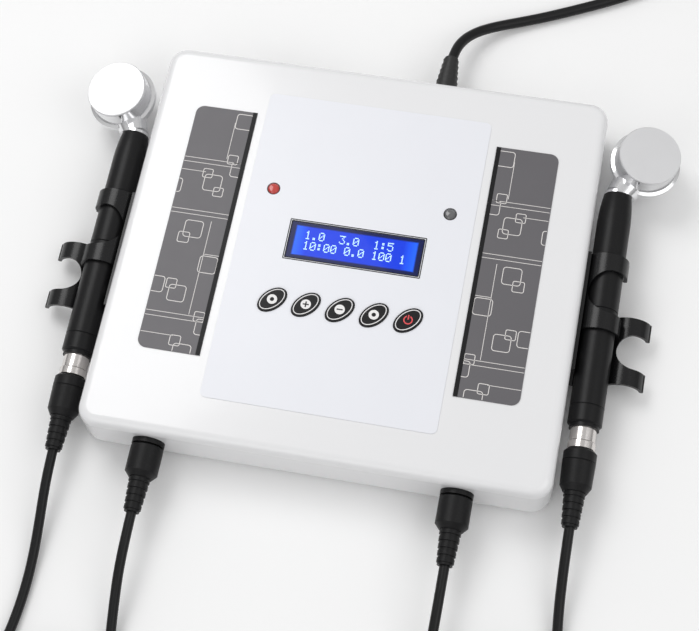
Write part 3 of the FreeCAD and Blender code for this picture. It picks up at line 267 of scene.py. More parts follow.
def moulded(name, colour, roughness, grain=2500, depth=0.02, variation=0.05, uneven=0.06, dust=0.0,
            coat=0.0, specular=0.5):
    """A plastic, rubber, film or print finish."""
    if name in bpy.data.materials:
        return bpy.data.materials[name]
    material, tree, shader = start_material(name)
    surface = add_node(tree, "ShaderNodeGroup", node_tree=surface_group())
    surface.inputs["Colour"].default_value = (*colour, 1)
    for label, value in (("Roughness", roughness), ("Variation", variation), ("Gloss Variation", uneven),
                         ("Grain Scale", grain)):
        surface.inputs[label].default_value = value
    shade = surface.outputs["Colour"]
    if dust:
        settled = add_node(tree, "ShaderNodeGroup", node_tree=dust_group())
        settled.inputs["Amount"].default_value = dust
        tree.links.new(shade, settled.inputs["Colour"])
        shade = settled.outputs["Colour"]
    tree.links.new(shade, shader.inputs["Base Color"])
    tree.links.new(surface.outputs["Roughness"], shader.inputs["Roughness"])
    bump = add_node(tree, "ShaderNodeBump", Strength=0.5, Distance=depth * MM,
                    Height=surface.outputs["Height"])
    tree.links.new(bump.outputs[0], shader.inputs["Normal"])
    shader.inputs["Coat Weight"].default_value = coat
    shader.inputs["Coat Roughness"].default_value = 0.08
    shader.inputs["Specular IOR Level"].default_value = specular
    return material


def turned_metal(name, colour, roughness, centre, turn, rings=9000, depth=0.004):
    """A metal turned about an axis through centre; turn is the axis's rotation."""
    if name in bpy.data.materials:
        return bpy.data.materials[name]
    material, tree, shader = start_material(name)
    place = add_node(tree, "ShaderNodeTexCoord").outputs["Object"]
    mapping = add_node(tree, "ShaderNodeMapping", vector_type="TEXTURE", Vector=place)
    mapping.inputs["Location"].default_value = centre
    mapping.inputs["Rotation"].default_value = turn
    lathe = add_node(tree, "ShaderNodeGroup", node_tree=turned_group())
    tree.links.new(mapping.outputs[0], lathe.inputs["Place"])
    lathe.inputs["Rings"].default_value = rings
    lathe.inputs["Roughness"].default_value = roughness
    tree.links.new(lathe.outputs["Roughness"], shader.inputs["Roughness"])
    bump = add_node(tree, "ShaderNodeBump", Strength=0.35, Distance=depth * MM,
                    Height=lathe.outputs["Height"])
    tree.links.new(bump.outputs[0], shader.inputs["Normal"])
    shader.inputs["Base Color"].default_value = (*colour, 1)
    shader.inputs["Metallic"].default_value = 1.0
    return material


DISPLAY_END_COLOUR = (0.01, 0.12, 0.95, 1)
DISPLAY_EDGE_COLOUR = (0.0, 0.004, 0.06, 1)


def display_material():
    """The backlit display under its clear window: brighter towards both ends, darker at its edge."""
    if "Backlit display" in bpy.data.materials:
        return bpy.data.materials["Backlit display"]
    material, tree, shader = start_material("Backlit display")
    low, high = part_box("display_window")
    centre = (low + high) / 2
    place = add_node(tree, "ShaderNodeTexCoord").outputs["Object"]
    mapping = add_node(tree, "ShaderNodeMapping", vector_type="TEXTURE", Vector=place)
    mapping.inputs["Location"].default_value = centre
    part = add_node(tree, "ShaderNodeSeparateXYZ", Vector=mapping.outputs[0])
    across = math_node(tree, "ABSOLUTE", part.outputs["X"])
    along = math_node(tree, "ABSOLUTE", part.outputs["Y"])
    half_width, half_length = (high.x - low.x) / 2, (high.y - low.y) / 2
    ends = between(tree, across, half_width * 0.72, half_width * 0.92)
    edge_x = between(tree, across, half_width - 3.3 * MM, half_width - 2.2 * MM)
    edge_y = between(tree, along, half_length - 2.3 * MM, half_length - 1.5 * MM)
    glow = colour_mix(tree, ends, (*colours().display, 1), DISPLAY_END_COLOUR)
    edged = colour_mix(tree, math_node(tree, "MAXIMUM", edge_x, edge_y), glow, DISPLAY_EDGE_COLOUR)
    tree.links.new(edged, shader.inputs["Base Color"])
    tree.links.new(edged, shader.inputs["Emission Color"])
    shader.inputs["Emission Strength"].default_value = 0.34
    shader.inputs["Roughness"].default_value = 0.28
    shader.inputs["Specular IOR Level"].default_value = 0.2
    shader.inputs["Coat Weight"].default_value = 0.1
    return material


def glowing_print():
    """The display's lit dots."""
    material = moulded("Lit characters", (0.55, 0.85, 1.0), 0.4, depth=0.0)
    shader = material.node_tree.nodes["Principled BSDF"]
    shader.inputs["Emission Color"].default_value = (0.6, 0.86, 1.0, 1)
    shader.inputs["Emission Strength"].default_value = 0.35
    return material


def strip_black():
    """The print of the panel strips and the display's border."""
    return moulded("Black strip print", colours().black_print, 0.4, depth=0.004, specular=0.2)


def dress(names, material):
    """Gives CAD nodes a finish, in every material slot."""
    for name in names:
        mesh = nodes[name].data
        if not mesh.materials:
            mesh.materials.append(material)
        for i in range(len(mesh.materials)):
            mesh.materials[i] = material


# ---------------------------------------------------------------- modelling helpers
def clear_selection():
    """Leaves edit mode and deselects everything."""
    if bpy.context.mode != "OBJECT":
        bpy.ops.object.mode_set(mode="OBJECT")
    bpy.ops.object.select_all(action="DESELECT")


def seal(name, body, material, replaced=()):
    """Applies the active object's place, names it, and gives it its finish and body."""
    piece = bpy.context.object
    clear_selection()
    piece.select_set(True)
    bpy.context.view_layer.objects.active = piece
    bpy.ops.object.transform_apply(location=True, rotation=True, scale=True)
    piece.name = piece.data.name = name
    piece.data.materials.clear()
    piece.data.materials.append(material)
    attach(piece, body)
    if replaced:
        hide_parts(*replaced)
    return piece


def thicken(piece, height):
    """Gives a flat shape its thickness, upwards."""
    solid = piece.modifiers.new("Thickness", "SOLIDIFY")
    solid.thickness = height
    solid.offset = 1.0
    bpy.context.view_layer.objects.active = piece
    bpy.ops.object.modifier_apply(modifier=solid.name)


def joined(pieces):
    """All the pieces as one object."""
    clear_selection()
    for piece in pieces:
        piece.select_set(True)
    bpy.context.view_layer.objects.active = pieces[0]
    bpy.ops.object.join()
    return bpy.context.object


def flat_square(x, y, z, side, line=None, corner=0.18):
    """A square with rounded corners, or its outline if line is given."""
    clear_selection()
    bpy.ops.mesh.primitive_plane_add(size=side, location=(x, y, z))
    bpy.ops.object.mode_set(mode="EDIT")
    bpy.ops.mesh.bevel(offset=side * corner, segments=5, affect="VERTICES")
    if line:
        bpy.ops.mesh.select_all(action="SELECT")
        bpy.ops.mesh.inset(thickness=line)
        bpy.ops.mesh.delete(type="FACE")
    bpy.ops.object.mode_set(mode="OBJECT")
    return bpy.context.object


def flat_bar(x0, y0, x1, y1, z, width):
    """A straight line of some width, along X or along Y."""
    clear_selection()
    bpy.ops.mesh.primitive_plane_add(size=1, location=((x0 + x1) / 2, (y0 + y1) / 2, z))
    bpy.ops.object.mode_set(mode="EDIT")
    bpy.ops.transform.resize(value=(max(abs(x1 - x0), width), max(abs(y1 - y0), width), 1),
                             center_override=((x0 + x1) / 2, (y0 + y1) / 2, z))
    bpy.ops.object.mode_set(mode="OBJECT")
    return bpy.context.object


def flat_oval(x, y, z, major, minor, turn=0.0, line=None, vertices=64):
    """An ellipse, or its outline if line is given."""
    clear_selection()
    bpy.ops.mesh.primitive_circle_add(vertices=vertices, radius=1, fill_type="NGON", location=(x, y, z))
    bpy.ops.object.mode_set(mode="EDIT")
    bpy.ops.transform.resize(value=(major, minor, 1), center_override=(x, y, z))
    if line:
        bpy.ops.mesh.inset(thickness=line)
        bpy.ops.mesh.delete(type="FACE")
    bpy.ops.object.mode_set(mode="OBJECT")
    piece = bpy.context.object
    piece.rotation_euler.z = turn
    return piece


def trim(piece, point, normal):
    """Cuts away what lies beyond point, on the side that normal points to."""
    clear_selection()
    piece.select_set(True)
    bpy.context.view_layer.objects.active = piece
    bpy.ops.object.transform_apply(location=True, rotation=True, scale=True)
    bpy.ops.object.mode_set(mode="EDIT")
    bpy.ops.mesh.select_all(action="SELECT")
    bpy.ops.mesh.bisect(plane_co=point, plane_no=normal, clear_outer=True)
    bpy.ops.object.mode_set(mode="OBJECT")


# ---------------------------------------------------------------- stage and camera
CAMERA_AZIMUTH, CAMERA_ELEVATION, CAMERA_ROLL = (math.radians(a) for a in (18.64, 66.98, -8.46))
CAMERA_AIM = Vector((5.9, -31.4, 32)) * MM
CAMERA_DISTANCE = 833.7 * MM
CAMERA_LENS, CAMERA_SENSOR = 86.16, 36
FLOOR_SIZE = 6
WORLD_STRENGTH = {"From Min": 0.02, "From Max": 0.62, "To Min": 0.30, "To Max": 0.62}  # by height
LIGHTS = (  # name, place, size and power
    ("Key light", (-0.5, 0.45, 1.05), 0.6, 4.4),
    ("Fill light", (0.9, -0.2, 1.0), 0.9, 3.0),
    ("Front light", (-0.4, -1.1, 0.9), 0.9, 2.4))


class THERAPYUNIT_OT_stage(bpy.types.Operator):
    """Adds the camera, the pale floor and the soft lights"""

    bl_idname = "therapy_unit.stage"
    bl_label = "Stage, light and camera"

    def execute(self, context):
        add_camera(context)
        add_floor()
        add_lights(context)
        return {"FINISHED"}


def add_camera(context):
    """The camera, turned about its aim by azimuth, elevation and roll."""
    level = Vector((math.cos(CAMERA_AZIMUTH), math.sin(CAMERA_AZIMUTH), 0))
    back = Vector((math.sin(CAMERA_AZIMUTH) * math.cos(CAMERA_ELEVATION),
                   -math.cos(CAMERA_AZIMUTH) * math.cos(CAMERA_ELEVATION), math.sin(CAMERA_ELEVATION)))
    upright = back.cross(level)
    right = level * math.cos(CAMERA_ROLL) + upright * math.sin(CAMERA_ROLL)
    up = upright * math.cos(CAMERA_ROLL) - level * math.sin(CAMERA_ROLL)
    clear_selection()
    bpy.ops.object.camera_add()
    camera = context.object
    camera.name = "Camera"
    camera.data.sensor_width = CAMERA_SENSOR
    camera.data.lens = CAMERA_LENS
    camera.matrix_world = (Matrix.Translation(CAMERA_AIM + back * CAMERA_DISTANCE)
                           @ Matrix((right, up, back)).transposed().to_4x4())
    context.scene.camera = camera


def add_floor():
    """A plain pale floor."""
    clear_selection()
    bpy.ops.mesh.primitive_plane_add(size=FLOOR_SIZE)
    floor = bpy.context.object
    floor.name = "Floor"
    floor.data.materials.append(moulded("Pale floor", (0.96, 0.96, 0.96), 0.6, depth=0.0, variation=0.01,
                                        uneven=0.02, specular=0.25))


def add_lights(context):
    """A soft studio: a world that brightens upwards and three area lights."""
    world = bpy.data.worlds.new("Studio")
    context.scene.world = world
    world.use_nodes = True
    tree = world.node_tree
    direction = add_node(tree, "ShaderNodeTexCoord").outputs["Generated"]
    part = add_node(tree, "ShaderNodeSeparateXYZ", Vector=direction)
    height = add_node(tree, "ShaderNodeMapRange", Value=part.outputs["Z"], interpolation_type="SMOOTHSTEP")
    for label, value in WORLD_STRENGTH.items():
        height.inputs[label].default_value = value
    tree.links.new(height.outputs[0], tree.nodes["Background"].inputs["Strength"])
    tree.nodes["Background"].inputs["Color"].default_value = (1, 1, 1, 1)
    for name, place, size, power in LIGHTS:
        clear_selection()
        bpy.ops.object.light_add(type="AREA", location=place)
        lamp = context.object
        lamp.name = name
        lamp.data.energy = power
        lamp.data.size = size
        lamp.rotation_euler = (-Vector(place)).to_track_quat("-Z", "Y").to_euler()
    context.scene.view_settings.view_transform = "Standard"


# ---------------------------------------------------------------- cords
LEAD_TAILS = {  # from each handpiece's plug to its coil, millimetres
    "left": [(-128.7, -118.2, 15.4), (-128.7, -130, 14.4), (-128.5, -143.2, 11.4), (-128, -158, 7.2),
             (-127.6, -174, 3.8), (-127.8, -191, 2.7), (-129.4, -209, 2.7), (-133.4, -229, 2.8)],
    "right": [(128.7, -114.2, 15.5), (128.7, -126, 14.4), (128.9, -139, 11.2), (129.4, -153, 7.2),
              (130.6, -168, 4.2), (132.4, -184, 2.9), (134.2, -200, 2.7)]}
LEAD_FRONTS = {  # from each front plug to the coil
    "left": [(-81.6, -142.5, 17.5), (-81.6, -168, 17.5), (-81, -192, 8.5), (-79.2, -212, 3.6),
             (-75.8, -231, 5.4)],
    "right": [(73, -142.5, 17.5), (73, -165.5, 17.5), (72.5, -189, 11.2), (71.3, -204, 10.6)]}
LEAD_COILS = {"left": (-104, -253), "right": (103, -217)}
MAINS_ROUTE = [
    (30, 129.5, 16), (31, 138.5, 14.9), (33.9, 146.8, 12.6), (38.9, 154, 9.6), (45.8, 159.9, 6.9),
    (54, 164.7, 4.9), (63.8, 169.2, 3.7), (75.6, 174.3, 3.1), (91, 181.4, 2.9), (108.6, 189.8, 2.9),
    (124.5, 198.6, 2.9), (138.8, 209.8, 2.9), (150.4, 223.6, 2.9), (157.8, 239, 2.9)]
MAINS_COIL = (125, 262)
POINTS_PER_TURN = 14
RING_ORDER = [  # ring and layer of each turn, from the outer ring at the bottom
    (2, 0), (1, 0), (0, 0), (0, 1), (0, 2), (1, 2), (1, 1), (2, 1), (2, 2)]


def coil_points(centre, middle, pitch, low, start, sense, turns):
    """Points of a wound coil: start is the first angle, sense is 1 for anticlockwise."""
    points = []
    spread = 1 / math.cos(math.pi / POINTS_PER_TURN) ** 0.5 * 1.006
    for i in range(int(round(turns * POINTS_PER_TURN)) + 1):
        turn, share = divmod(i / POINTS_PER_TURN, 1)
        here = RING_ORDER[int(turn) % len(RING_ORDER)]
        after = RING_ORDER[min(int(turn) + 1, len(RING_ORDER) - 1)]
        ease = max(0.0, (share - 0.7) / 0.3)
        ring = here[0] + (after[0] - here[0]) * ease
        layer = here[1] + (after[1] - here[1]) * ease
        radius = (middle + (ring - 1) * pitch) * spread
        angle = start + sense * 2 * math.pi * (turn + share)
        points.append((centre[0] + radius * math.cos(angle), centre[1] + radius * math.sin(angle),
                       low + layer * pitch))
    return points


def cord_curve(name, points, diameter):
    """A round cord on one smooth spline with points, in millimetres, as its control points."""
    clear_selection()
    curve = bpy.data.curves.new(name, "CURVE")
    curve.dimensions = "3D"
    spline = curve.splines.new("NURBS")
    spline.points.add(len(points) - 1)
    for point, place in zip(spline.points, points):
        point.co = (*(Vector(place) * MM), 1)
    spline.order_u = 3
    spline.use_endpoint_u = True
    spline.resolution_u = 6
    curve.bevel_depth = diameter / 2
    curve.bevel_resolution = 5
    curve.use_fill_caps = True
    piece = bpy.data.objects.new(name, curve)
    bpy.context.scene.collection.objects.link(piece)
    return piece


def measured(piece):
    """Length of a cord's centreline."""
    curve = piece.data.copy()
    curve.bevel_depth = 0
    probe = bpy.data.objects.new("probe", curve)
    bpy.context.scene.collection.objects.link(probe)
    bpy.context.view_layer.update()
    mesh = bpy.data.meshes.new_from_object(probe.evaluated_get(bpy.context.evaluated_depsgraph_get()))
    places = [v.co.copy() for v in mesh.vertices]
    bpy.data.objects.remove(probe)
    bpy.data.meshes.remove(mesh)
    return sum((b - a).length for a, b in zip(places, places[1:]))


def cord_material():
    """The dark sheath of every cord."""
    return moulded("Cord sheath", colours().cord, 0.36, grain=1800, depth=0.03, variation=0.25,
                   uneven=0.12, dust=0.03, specular=0.25)


class THERAPYUNIT_OT_leads(bpy.types.Operator):
    """Lays both handpiece leads, each with its put-away coil"""

    bl_idname = "therapy_unit.leads"
    bl_label = "Handpiece leads"

    def execute(self, context):
        diameter = sizes().lead_diameter
        for tag, side in SIDES:
            start = math.pi if side < 0 else 0.0
            wound = coil_points(LEAD_COILS[tag], 27.2, 5.06, 2.65, start, -side, 8.5)
            points = LEAD_TAILS[tag] + wound + LEAD_FRONTS[tag][::-1]
            lead = cord_curve(f"Lead_{tag}", points, diameter)
            lead.data.materials.append(cord_material())
            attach(lead, "console")
            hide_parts(f"lead_tail_{tag}", f"lead_coil_{tag}", f"lead_front_{tag}")
            round(measured(lead), 3)
        return {"FINISHED"}


class THERAPYUNIT_OT_mains(bpy.types.Operator):
    """Lays the mains lead from its strain relief to the plug, with its put-away coil"""

    bl_idname = "therapy_unit.mains"
    bl_label = "Mains lead"

    def execute(self, context):
        diameter = sizes().mains_diameter
        wound = coil_points(MAINS_COIL, 30.5, 5.66, 2.95, 0.0, 1, 7.2)
        points = MAINS_ROUTE + wound + [(134, 297.4, 8.2), (122, 298.6, 7.4), (112, 298.5, 7.2)]
        lead = cord_curve("Mains_lead", points, diameter)
        lead.data.materials.append(cord_material())
        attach(lead, "console")
        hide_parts("mains_cable", "mains_coil")
        round(measured(lead), 3)
        return {"FINISHED"}


# ---------------------------------------------------------------- case, panels and film
class THERAPYUNIT_OT_case(bpy.types.Operator):
    """Gives the case, its film, feet and screws their finishes"""

    bl_idname = "therapy_unit.case"
    bl_label = "Case"

    def execute(self, context):
        tones = colours()
        white = moulded("Glossy case", tones.case, 0.2, grain=900, depth=0.006, variation=0.02, uneven=0.05,
                        coat=0.35)
        dress(["upper_case", "lower_case"], white)
        dress(["front_film"], moulded("Front film satin", tones.film, 0.33, grain=5200, depth=0.008,
                                      variation=0.03, uneven=0.08))
        dress(["feet"], moulded("Foot rubber", (0.02, 0.02, 0.02), 0.75, grain=2600, depth=0.05, dust=0.15))
        screw = turned_metal("Plated screw", (0.55, 0.55, 0.56), 0.3, (0, 0, 0), (0, 0, 0), rings=4000)
        dress(["case_screws", "holder_screws"], screw)
        return {"FINISHED"}


PANEL_SQUARES = [  # across towards the inner edge, along towards the rear, side, in millimetres
    (10.6, 63.0, 9.2), (9.2, 40.2, 5.6), (13.4, 34.6, 8.4), (-2.0, 30.6, 5.4), (1.6, 25.4, 9.6),
    (5.6, 20.6, 5.4), (-18.0, 21.6, 8.2), (-2.4, -2.0, 9.8), (-6.4, -7.2, 6.2), (9.4, -20.6, 9.6),
    (-14.6, -34.8, 9.0), (-6.6, -33.4, 5.6), (-2.8, -38.4, 9.2), (11.4, -49.2, 5.6),
    (14.8, -54.6, 8.8), (2.2, -63.6, 5.8), (6.6, -69.6, 9.6)]
PANEL_MARGIN = 0.3 * MM
PANEL_LINES = [  # across, along, across, along
    (-17, 38.6, 17, 38.6), (-17, 36.0, 17, 36.0), (5.9, 40.4, 5.9, 62.0), (-17, 31.2, -3.2, 31.2),
    (-17, 8.6, 17, 8.6), (-17, 6.2, 17, 6.2), (6.0, 3.6, 6.0, -48.8), (6.0, -15.0, 17, -15.0),
    (-17, -49.4, 17, -49.4), (-17, -52.0, 17, -52.0), (-17, -61.2, 0.6, -61.2)]


class THERAPYUNIT_OT_side_panels(bpy.types.Operator):
    """Finishes the dark side panels and prints their line pattern and black strip"""

    bl_idname = "therapy_unit.side_panels"
    bl_label = "Side panels"

    def execute(self, context):
        tones = colours()
        line, height = sizes().line_width, sizes().print_height
        satin = moulded("Side panel satin", tones.panel, 0.42, grain=4200, depth=0.01, variation=0.12,
                        uneven=0.1)
        pale = moulded("Pale line print", tones.pale_print, 0.5, depth=0.004)
        black = strip_black()
        for tag, side in SIDES:
            dress([f"side_panel_{tag}"], satin)
            low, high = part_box(f"side_panel_{tag}")
            x, y = (low.x + high.x) / 2, (low.y + high.y) / 2
            drawn = [flat_square(x - side * u * MM, y + v * MM, PANEL_TOP, s * MM, line)
                     for u, v, s in PANEL_SQUARES]
            drawn += [flat_bar(x - side * u0 * MM, y + v0 * MM, x - side * u1 * MM, y + v1 * MM, PANEL_TOP,
                               line * 0.8)
                      for u0, v0, u1, v1 in PANEL_LINES]
            pattern = joined(drawn)
            inner = high.x - sizes().strip_width if side < 0 else low.x + sizes().strip_width
            outer = low.x + PANEL_MARGIN if side < 0 else high.x - PANEL_MARGIN
            trim(pattern, (outer, y, PANEL_TOP), (side, 0, 0))
            trim(pattern, (inner, y, PANEL_TOP), (-side, 0, 0))
            trim(pattern, (x, low.y + PANEL_MARGIN, PANEL_TOP), (0, -1, 0))
            thicken(pattern, height)
            seal(f"Panel_pattern_{tag}", "console", pale)
            edge = high.x if side < 0 else low.x
            strip = flat_bar(min(edge, inner), low.y, max(edge, inner), high.y, PANEL_TOP, line)
            thicken(strip, height * 1.4)
            seal(f"Panel_strip_{tag}", "console", black)
        return {"FINISHED"}


# ---------------------------------------------------------------- display
DIGITS = {  # five dots across, seven down, from the top row
    "0": "01110 10001 10011 10101 11001 10001 01110", "1": "00100 01100 00100 00100 00100 00100 01110",
    "2": "01110 10001 00001 00010 00100 01000 11111", "3": "11111 00010 00100 00010 00001 10001 01110",
    "5": "11111 10000 11110 00001 00001 10001 01110", ".": "00000 00000 00000 00000 00000 01100 01100",
    ":": "00000 01100 01100 00000 01100 01100 00000"}
DISPLAY_ROWS = ("1.0  3.0  1:5", "10:00 0.0 100 1")
FIRST_ROW_UP = 5.6 * MM  # from the display's middle to the first row's top dots
ROW_PITCH = 5.9 * MM
DOT_STRETCH = 1.12  # a dot's pitch down the display over its pitch across
DOT_HEIGHT = 0.03 * MM
BORDER_LINE = 0.5 * MM
BORDER_GAPS = (("inner", 0.35 * MM), ("outer", 1.15 * MM))


class THERAPYUNIT_OT_display(bpy.types.Operator):
    """Lights the display and sets its numerals and double border"""

    bl_idname = "therapy_unit.display"
    bl_label = "Display"

    def execute(self, context):
        size = sizes()
        dress(["display_window", "display_glass"], display_material())
        dress(["display_frame"], moulded("Display frame paint", (0.02, 0.02, 0.02), 0.5, grain=3000))
        low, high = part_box("display_window")
        centre = (low + high) / 2
        dots = []
        start_x = centre.x - size.character_pitch * 7.5
        for row, text in enumerate(DISPLAY_ROWS):
            top_y = centre.y + FIRST_ROW_UP - row * ROW_PITCH
            for column, character in enumerate(text):
                middle_x = start_x + (column + 0.5) * size.character_pitch
                for down, bits in enumerate(DIGITS.get(character, "").split()):
                    y = top_y - down * size.dot_pitch * DOT_STRETCH
                    dots += [(middle_x + (across - 2) * size.dot_pitch, y)
                             for across, bit in enumerate(bits) if bit == "1"]
        first = flat_square(dots[0][0], dots[0][1], high.z, size.dot_size, corner=0.12)
        copies = [first]
        for x, y in dots[1:]:
            copy = first.copy()
            copy.data = first.data.copy()
            bpy.context.scene.collection.objects.link(copy)
            copy.location = (x, y, high.z)
            copies.append(copy)
        thicken(joined(copies), DOT_HEIGHT)
        seal("Display_numerals", "console", glowing_print())
        black = strip_black()
        half_x, half_y = (high.x - low.x) / 2, (high.y - low.y) / 2
        for name, gap in BORDER_GAPS:
            left, right = centre.x - half_x - gap, centre.x + half_x + gap
            front, back = centre.y - half_y - gap, centre.y + half_y + gap
            bars = []
            for x, y in ((left, front), (right, back)):
                bars.append(flat_bar(left, y, right, y, FILM_TOP, BORDER_LINE))
                bars.append(flat_bar(x, front, x, back, FILM_TOP, BORDER_LINE))
            thicken(joined(bars), size.print_height)
            seal(f"Display_border_{name}", "console", black)
        return {"FINISHED"}


# ---------------------------------------------------------------- keys and lamps
KEY_NAMES = ("key_mode", "key_plus", "key_minus", "key_pulse", "key_start")
KEY_SLANT = math.radians(45)
OUTLINE_MAJOR, OUTLINE_MINOR, OUTLINE_LINE = 7.25 * MM, 4.35 * MM, 0.42 * MM
ICON_RADIUS, ICON_RING = 2.6 * MM, 1.5 * MM
SIGN_REACH, SIGN_LINE = 1.55 * MM, 0.7 * MM
POWER_RADIUS, POWER_LINE, POWER_HALF_GAP = 2.4 * MM, 0.65 * MM, 0.85 * MM
POWER_BAR = (0.2 * MM, 2.7 * MM)  # from and to, behind the icon's middle
LAMP_RING_RADIUS, LAMP_RING_LINE = 3.45 * MM, 0.3 * MM


def top_middle(name):
    """The middle of a node's top, as x, y and z."""
    low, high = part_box(name)
    return (low.x + high.x) / 2, (low.y + high.y) / 2, high.z


def key_icon(name, x, y, z):
    """The flat shapes of one key's icon: pale ones, then dark ones laid over them."""
    if name in ("key_mode", "key_pulse"):
        return [flat_oval(x, y, z, ICON_RADIUS, ICON_RADIUS, line=ICON_RING)], []
    pale = [flat_oval(x, y, z, ICON_RADIUS, ICON_RADIUS)]
    bars = [flat_bar(x - SIGN_REACH, y, x + SIGN_REACH, y, z, SIGN_LINE)]
    if name == "key_plus":
        bars.append(flat_bar(x, y - SIGN_REACH, x, y + SIGN_REACH, z, SIGN_LINE))
    return pale, bars


def power_sign(x, y, z):
    """A ring open at its rear, with a bar standing in the gap."""
    front = flat_oval(x, y, z, POWER_RADIUS, POWER_RADIUS, line=POWER_LINE)
    trim(front, (x, y, z), (0, 1, 0))
    pieces = [front]
    for sign in (-1, 1):
        arc = flat_oval(x, y, z, POWER_RADIUS, POWER_RADIUS, line=POWER_LINE)
        trim(arc, (x, y, z), (0, -1, 0))
        trim(arc, (x + sign * POWER_HALF_GAP, y, z), (-sign, 0, 0))
        pieces.append(arc)
    pieces.append(flat_bar(x, y + POWER_BAR[0], x, y + POWER_BAR[1], z, POWER_LINE))
    return joined(pieces)


class THERAPYUNIT_OT_keys(bpy.types.Operator):
    """Finishes the five keys and prints their outlines and icons"""

    bl_idname = "therapy_unit.keys"
    bl_label = "Keys"

    def execute(self, context):
        tones, height = colours(), sizes().print_height
        cap = moulded("Key cap satin", tones.black_print, 0.34, grain=3600, depth=0.01, variation=0.2,
                      uneven=0.08, specular=0.2)
        pale = moulded("Pale icon print", (0.86, 0.85, 0.85), 0.45, depth=0.003)
        dark = moulded("Dark icon print", tones.black_print, 0.35, depth=0.003)
        red = moulded("Red icon print", tones.red_print, 0.45, depth=0.003)
        for name in KEY_NAMES:
            dress([name], cap)
            x, y, z = top_middle(name)
            thicken(flat_oval(x, y, z, OUTLINE_MAJOR, OUTLINE_MINOR, KEY_SLANT, line=OUTLINE_LINE), height)
            seal(f"{name}_outline", name, pale)
            if name == "key_start":
                thicken(power_sign(x, y, z), height)
                seal(f"{name}_icon", name, red)
                continue
            light, over = key_icon(name, x, y, z)
            thicken(joined(light), height)
            seal(f"{name}_icon", name, pale)
            if over:
                thicken(joined(over), height * 1.6)
                seal(f"{name}_sign", name, dark)
        return {"FINISHED"}


class THERAPYUNIT_OT_lamps(bpy.types.Operator):
    """Finishes the two indicator lamps and rings them"""

    bl_idname = "therapy_unit.lamps"
    bl_label = "Indicator lamps"

    def execute(self, context):
        tones = colours()
        black = moulded("Lamp ring print", (0.03, 0.03, 0.035), 0.4, depth=0.004)
        for name, tone in (("lamp_red", tones.red_lamp), ("lamp_grey", tones.grey_lamp)):
            dress([name], moulded(f"{name}_lens", tone, 0.16, grain=500, depth=0.02, variation=0.35,
                                  coat=0.6))
            x, y, _ = top_middle(name)
            ring = flat_oval(x, y, FILM_TOP, LAMP_RING_RADIUS, LAMP_RING_RADIUS, line=LAMP_RING_LINE)
            thicken(ring, sizes().print_height)
            seal(f"{name}_ring", "console", black)
        return {"FINISHED"}


# ---------------------------------------------------------------- handpieces, holders and plugs
def head_turn(side):
    """The sound head's lean, as Euler angles."""
    return (Matrix.Rotation(HEAD_BACK, 3, "X") @ Matrix.Rotation(side * HEAD_OUT, 3, "Y")).to_euler()


class THERAPYUNIT_OT_handpieces(bpy.types.Operator):
    """Finishes both handpieces: sound head, face, handle and nickel sleeve"""

    bl_idname = "therapy_unit.handpieces"
    bl_label = "Handpieces"

    def execute(self, context):
        tones = colours()
        grip = moulded("Handle satin", tones.handle, 0.36, grain=2200, depth=0.03, variation=0.2, uneven=0.1,
                       dust=0.02, specular=0.2)
        for tag, side in SIDES:
            low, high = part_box(f"face_plate_{tag}")
            centre, turn = (low + high) / 2, head_turn(side)
            polish = turned_metal(f"Head_polish_{tag}", tones.metal, 0.16, centre, turn, rings=5200,
                                  depth=0.006)
            dress([f"head_shell_{tag}"], polish)
            lapped = turned_metal(f"Head_face_{tag}", (0.80, 0.80, 0.81), 0.5, centre, turn, rings=7000,
                                  depth=0.01)
            dress([f"face_plate_{tag}"], lapped)
            dress([f"grip_{tag}", f"barrel_{tag}"], grip)
            low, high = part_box(f"tail_socket_{tag}")
            along = (math.pi / 2, 0, 0)
            nickel = turned_metal(f"Nickel_{tag}", (0.72, 0.69, 0.67), 0.18, (low + high) / 2, along,
                                  rings=8000)
            dress([f"tail_socket_{tag}", f"coupling_nut_{tag}"], nickel)
            dress([f"piezo_disc_{tag}"], moulded("Sintered ceramic", (0.7, 0.64, 0.5), 0.8, depth=0.05))
        return {"FINISHED"}


class THERAPYUNIT_OT_holders(bpy.types.Operator):
    """Finishes the side holders with their clips and spare hooks"""

    bl_idname = "therapy_unit.holders"
    bl_label = "Side holders"

    def execute(self, context):
        gloss = moulded("Holder gloss", colours().handle, 0.24, grain=700, depth=0.02, variation=0.15,
                        uneven=0.08, dust=0.02, specular=0.3)
        dress(["holder_left", "holder_right"], gloss)
        return {"FINISHED"}


class THERAPYUNIT_OT_plugs(bpy.types.Operator):
    """Finishes the plugs, front sockets and strain reliefs"""

    bl_idname = "therapy_unit.plugs"
    bl_label = "Plugs and sockets"

    def execute(self, context):
        body = moulded("Plug satin", colours().handle, 0.42, grain=2400, depth=0.04, variation=0.2,
                       uneven=0.1, dust=0.03, specular=0.2)
        dress(["lead_plug_left", "lead_plug_right", "cable_plug_left", "cable_plug_right"], body)
        dress(["mains_strain_relief", "mains_plug"],
              moulded("Strain relief rubber", (0.012, 0.012, 0.012), 0.5, grain=1900, depth=0.05, dust=0.06))
        dress(["output_socket_left", "output_socket_right"], body)
        return {"FINISHED"}


class THERAPYUNIT_OT_rear(bpy.types.Operator):
    """Finishes the rear switch and fuse holder"""

    bl_idname = "therapy_unit.rear"
    bl_label = "Rear fittings"

    def execute(self, context):
        black = moulded("Rear fitting black", (0.015, 0.015, 0.016), 0.34, grain=2400, depth=0.03, dust=0.05)
        dress(["rocker_frame", "rocker", "fuse_holder"], black)
        return {"FINISHED"}


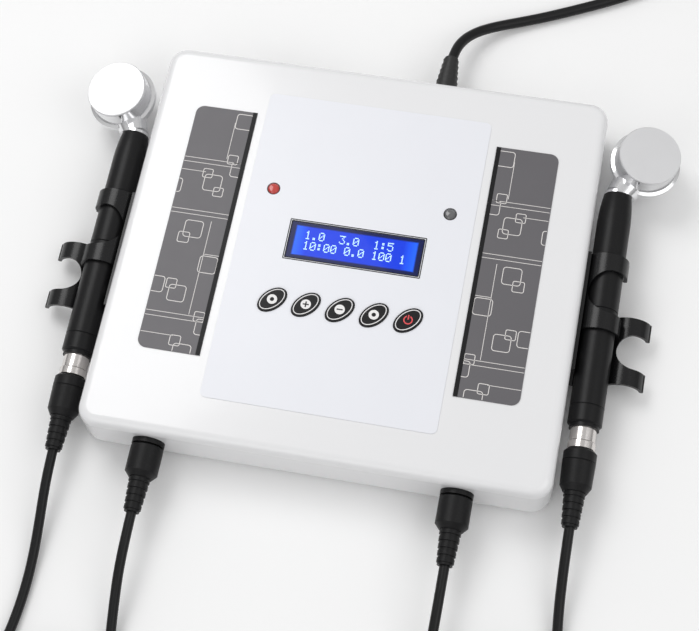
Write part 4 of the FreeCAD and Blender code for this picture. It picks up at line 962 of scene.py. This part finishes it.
class THERAPYUNIT_OT_inside(bpy.types.Operator):
    """Finishes the boards, switches and transformer inside the case"""

    bl_idname = "therapy_unit.inside"
    bl_label = "Inside"

    def execute(self, context):
        board = moulded("Board green", (0.02, 0.14, 0.05), 0.35, grain=1500, depth=0.02, variation=0.2)
        dress(["display_board", "keypad_board", "main_board"], board)
        dress(["tact_switches"], moulded("Switch black", (0.02, 0.02, 0.02), 0.5))
        steel = moulded("Laminated steel", (0.2, 0.2, 0.21), 0.45, grain=3000, depth=0.06)
        dress(["transformer_core"], steel)
        tape = moulded("Taped winding", (0.6, 0.45, 0.08), 0.5, grain=1200, depth=0.06)
        dress(["transformer_winding"], tape)
        return {"FINISHED"}


BUILD_STEPS = [
    THERAPYUNIT_OT_stage, THERAPYUNIT_OT_leads, THERAPYUNIT_OT_mains, THERAPYUNIT_OT_case,
    THERAPYUNIT_OT_side_panels, THERAPYUNIT_OT_display, THERAPYUNIT_OT_keys, THERAPYUNIT_OT_lamps,
    THERAPYUNIT_OT_handpieces, THERAPYUNIT_OT_holders, THERAPYUNIT_OT_plugs, THERAPYUNIT_OT_rear,
    THERAPYUNIT_OT_inside]


class THERAPYUNIT_PT_panel(bpy.types.Panel):
    """Lists the unit's pieces in the sidebar"""

    bl_idname = "THERAPYUNIT_PT_panel"
    bl_label = "Therapy Unit"
    bl_space_type = "VIEW_3D"
    bl_region_type = "UI"
    bl_category = "Therapy Unit"

    def draw(self, context):
        layout = self.layout
        for step in BUILD_STEPS:
            layout.operator(step.bl_idname)
        for group in (sizes(), colours()):
            box = layout.box()
            for name in group.__annotations__:
                box.prop(group, name)


CLASSES = [TherapyUnitSizes, TherapyUnitColours, *BUILD_STEPS, THERAPYUNIT_PT_panel]


def register():
    """Adds the classes and the scene's settings."""
    for item in CLASSES:
        bpy.utils.register_class(item)
    bpy.types.Scene.therapy_unit_sizes = bpy.props.PointerProperty(type=TherapyUnitSizes)
    bpy.types.Scene.therapy_unit_colours = bpy.props.PointerProperty(type=TherapyUnitColours)


def unregister():
    """Takes away the scene's settings and the classes."""
    del bpy.types.Scene.therapy_unit_colours
    del bpy.types.Scene.therapy_unit_sizes
    for item in reversed(CLASSES):
        bpy.utils.unregister_class(item)


def main():
    """Runs each step in order."""
    register()
    for step in BUILD_STEPS:
        space, action = step.bl_idname.split(".")
        getattr(getattr(bpy.ops, space), action)()


if __name__ == "__main__":
    main()
